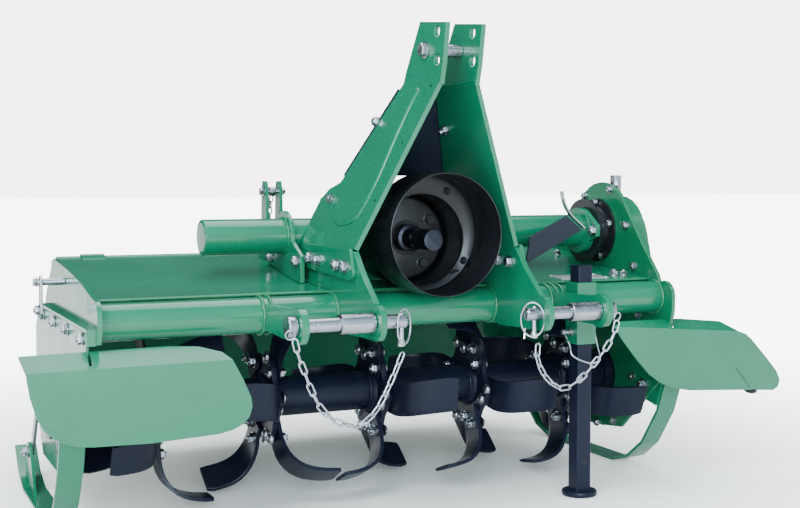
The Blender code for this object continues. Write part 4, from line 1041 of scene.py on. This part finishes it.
def loose_chain(name, pts):
    route = curve(pts, 0.0125)
    g = Geo()
    for k, (a, b) in enumerate(zip(route, route[1:])):
        c, t = (a + b) / 2, (b - a).normalized()
        side = t.cross(Vector((1, 0, 0.2))).normalized()
        w = side if k % 2 else t.cross(side).normalized()
        hw, hl = 0.0036, (b - a).length / 2 + 0.0014 - 0.0036
        loop = [c + t * (hl + hw * math.cos(q)) + w * (hw * math.sin(q)) for q in [-math.pi / 2 + math.pi * i / 8 for i in range(9)]]
        loop += [c + t * (-hl + hw * math.cos(q)) + w * (hw * math.sin(q)) for q in [math.pi / 2 + math.pi * i / 8 for i in range(9)]]
        g.tube(loop, 0.0014, 8, True)
    piece(name, g, CHAIN, sharp=60)


loose_chain("rear_hold_up_chain", [(-0.150, 0.152, 0.543), (-0.151, 0.160, 0.520), (-0.150, 0.166, 0.490), (-0.149, 0.171, 0.460),
                                   (-0.148, 0.176, 0.440), (-0.140, 0.186, 0.4335), (-0.118, 0.192, 0.4335)])

# turned-in ends of the rear board
g = Geo()
end = [(0.288, 0.392), (0.3405, 0.3440), (0.3890, 0.2480), (0.4170, 0.1560), (0.345, 0.160), (0.302, 0.205), (0.286, 0.260), (0.284, 0.350)]
for x in (-0.5455, 0.4985):
    g.prism(end, "X", x, x + 0.0030, 0.0006, 2)
piece("rear_board_ends", g, GREEN, "rear_board", sharp=40)

# bolts of the guard brackets, the right guard's pressed crease and its rubber bump
g = Geo()
for z in (0.230, 0.260):
    g.bolt((X_PANEL + 0.0052, -0.186, z), (1, 0, 0), 0.0085, turn=z * 40, stud=0.004)
for z in (0.226, 0.254):
    g.bolt((X_RIGHT - 0.0052, -0.196, z), (-1, 0, 0), 0.0085, turn=z * 40, stud=0.004)
piece("guard_bolts", g, ZINC)
g = Geo()
g.tube(curve([(0.656, -0.2423, 0.2110), (0.668, -0.2426, 0.1980), (0.680, -0.2424, 0.1840), (0.689, -0.2420, 0.1710)], 0.003), 0.0013, 8)
piece("right_guard_crease", g, GREEN)
g = Geo()
g.lathe([(0, 0), (0.010, 0), (0.013, 0.003), (0.012, 0.007), (0.006, 0.010), (0, 0.0105)], (0.700, -0.2330, 0.1685), (0, 0.15, -1), 32)
piece("right_guard_stop", g, PLASTIC)

# blank name plate on the deck, and the bolts through it
bpy.context.view_layer.update()
HOOD_AT = bpy.data.objects["hood_body"].matrix_world.copy()
HOOD = BVHTree.FromObject(bpy.data.objects["hood_body"], bpy.context.evaluated_depsgraph_get())


def drop(x, y, up=0.0):
    """Point on top of the hood at x, y, raised by up."""
    hit, normal, _i, _d = HOOD.ray_cast(HOOD_AT.inverted() @ (T @ Vector((x, y, 0.70))), Vector((0, 0, -1)))
    if hit is None:
        return Vector((x, y, 0.395)), Vector((0, 0, 1))
    n = normal if normal.z > 0 else -normal
    return T.inverted() @ (HOOD_AT @ hit) + n * up, n


bm = bmesh.new()
nx, ny = 16, 8
grid = []
for j in range(ny + 1):
    row = []
    for i in range(nx + 1):
        p, n = drop(0.318 + 0.104 * i / nx, -0.150 + 0.050 * j / ny)
        row.append((p, n))
    grid.append(row)
for up, flip in ((0.0012, False), (-0.0003, True)):
    vs = [[bm.verts.new(p + n * up) for p, n in row] for row in grid]
    for j in range(ny):
        for i in range(nx):
            f = (vs[j][i], vs[j][i + 1], vs[j + 1][i + 1], vs[j + 1][i])
            bm.faces.new(f[::-1] if flip else f)
    edge = [vs[0][i] for i in range(nx)] + [vs[j][nx] for j in range(ny)] + \
        [vs[ny][i] for i in range(nx, 0, -1)] + [vs[j][0] for j in range(ny, 0, -1)]
    if flip:
        for k in range(len(edge)):
            bm.faces.new((keep[k], edge[k], edge[(k + 1) % len(edge)], keep[(k + 1) % len(edge)]))
    keep = edge
g = Geo()
g.take(bm)
for x, y in ((0.322, -0.146), (0.418, -0.146), (0.322, -0.104), (0.418, -0.104)):
    p, n = drop(x, y, 0.0010)
    g.lathe([(0, 0), (0.0022, 0), (0.0019, 0.0010), (0.0010, 0.0015), (0, 0.0016)], p, n, 16)
piece("blank_name_plate", g, PLATE_METAL)
g = Geo()
for x, y, sz in ((0.205, -0.052, 0.008), (0.235, -0.052, 0.008), (0.455, -0.118, 0.010), (0.478, -0.118, 0.009),
                 (0.470, 0.110, 0.008)):
    p, n = drop(x, y)
    g.bolt(p, n, sz, turn=x * 9, stud=0.003)
piece("deck_bolts", g, ZINC)

# ------------------------------------------------------------ floor, light
bm = bmesh.new()
bmesh.ops.create_grid(bm, x_segments=2, y_segments=2, size=40.0)
me = bpy.data.meshes.new("floor")
bm.to_mesh(me)
bm.free()
me.materials.append(floor_mat())
floor = bpy.data.objects.new("floor", me)
bpy.context.scene.collection.objects.link(floor)
floor.location = (0, 0, -0.0005)

world = bpy.data.worlds.new("studio")
bpy.context.scene.world = world
world.use_nodes = True
wt = world.node_tree
bg = wt.nodes["Background"]
bg.inputs["Color"].default_value = (0.66, 0.90, 1.0, 1.0)
# studio seen in reflections: tall bright screens in front and to the left, dim behind and overhead
direction = wt.nodes.new("ShaderNodeTexCoord").outputs["Generated"]
toward = wt.nodes.new("ShaderNodeVectorMath")
toward.operation = "DOT_PRODUCT"
wt.links.new(direction, toward.inputs[0])
toward.inputs[1].default_value = (-0.30, -0.94, 0.12)
screen = wt.nodes.new("ShaderNodeMapRange")
screen.interpolation_type = "SMOOTHSTEP"
screen.inputs["From Min"].default_value = 0.10
screen.inputs["From Max"].default_value = 0.85
screen.inputs["To Min"].default_value = 0.17
screen.inputs["To Max"].default_value = 2.0
wt.links.new(toward.outputs["Value"], screen.inputs["Value"])
wt.links.new(screen.outputs["Result"], bg.inputs["Strength"])
# the plain white sweep behind the object
white = wt.nodes.new("ShaderNodeBackground")
white.inputs["Strength"].default_value = 7.0
pick = wt.nodes.new("ShaderNodeMixShader")
wt.links.new(wt.nodes.new("ShaderNodeLightPath").outputs["Is Camera Ray"], pick.inputs[0])
wt.links.new(bg.outputs[0], pick.inputs[1])
wt.links.new(white.outputs[0], pick.inputs[2])
wt.links.new(pick.outputs[0], wt.nodes["World Output"].inputs["Surface"])


def area(name, loc, target, size, power, color=(1, 1, 1), size_y=None):
    li = bpy.data.lights.new(name, "AREA")
    li.shape = "RECTANGLE"
    li.size = size
    li.size_y = size_y or size
    li.energy = power
    li.color = color
    ob = bpy.data.objects.new(name, li)
    bpy.context.scene.collection.objects.link(ob)
    ob.location = loc
    ob.rotation_euler = (Vector(target) - Vector(loc)).to_track_quat("-Z", "Y").to_euler()
    return ob


area("key", (-2.2, -1.6, 3.0), (0, 0, 0.3), 1.8, 190, (0.84, 0.96, 1.0))
area("top", (0.3, 0.6, 3.4), (0, 0, 0.3), 2.6, 130, (0.86, 0.96, 1.0))
area("front", (-1.6, -4.2, 1.3), (0, 0, 0.3), 2.6, 270, (0.78, 0.96, 1.0), size_y=1.8)
area("right", (3.0, -1.0, 1.8), (0.2, 0, 0.3), 1.6, 60, (0.85, 0.96, 1.0))
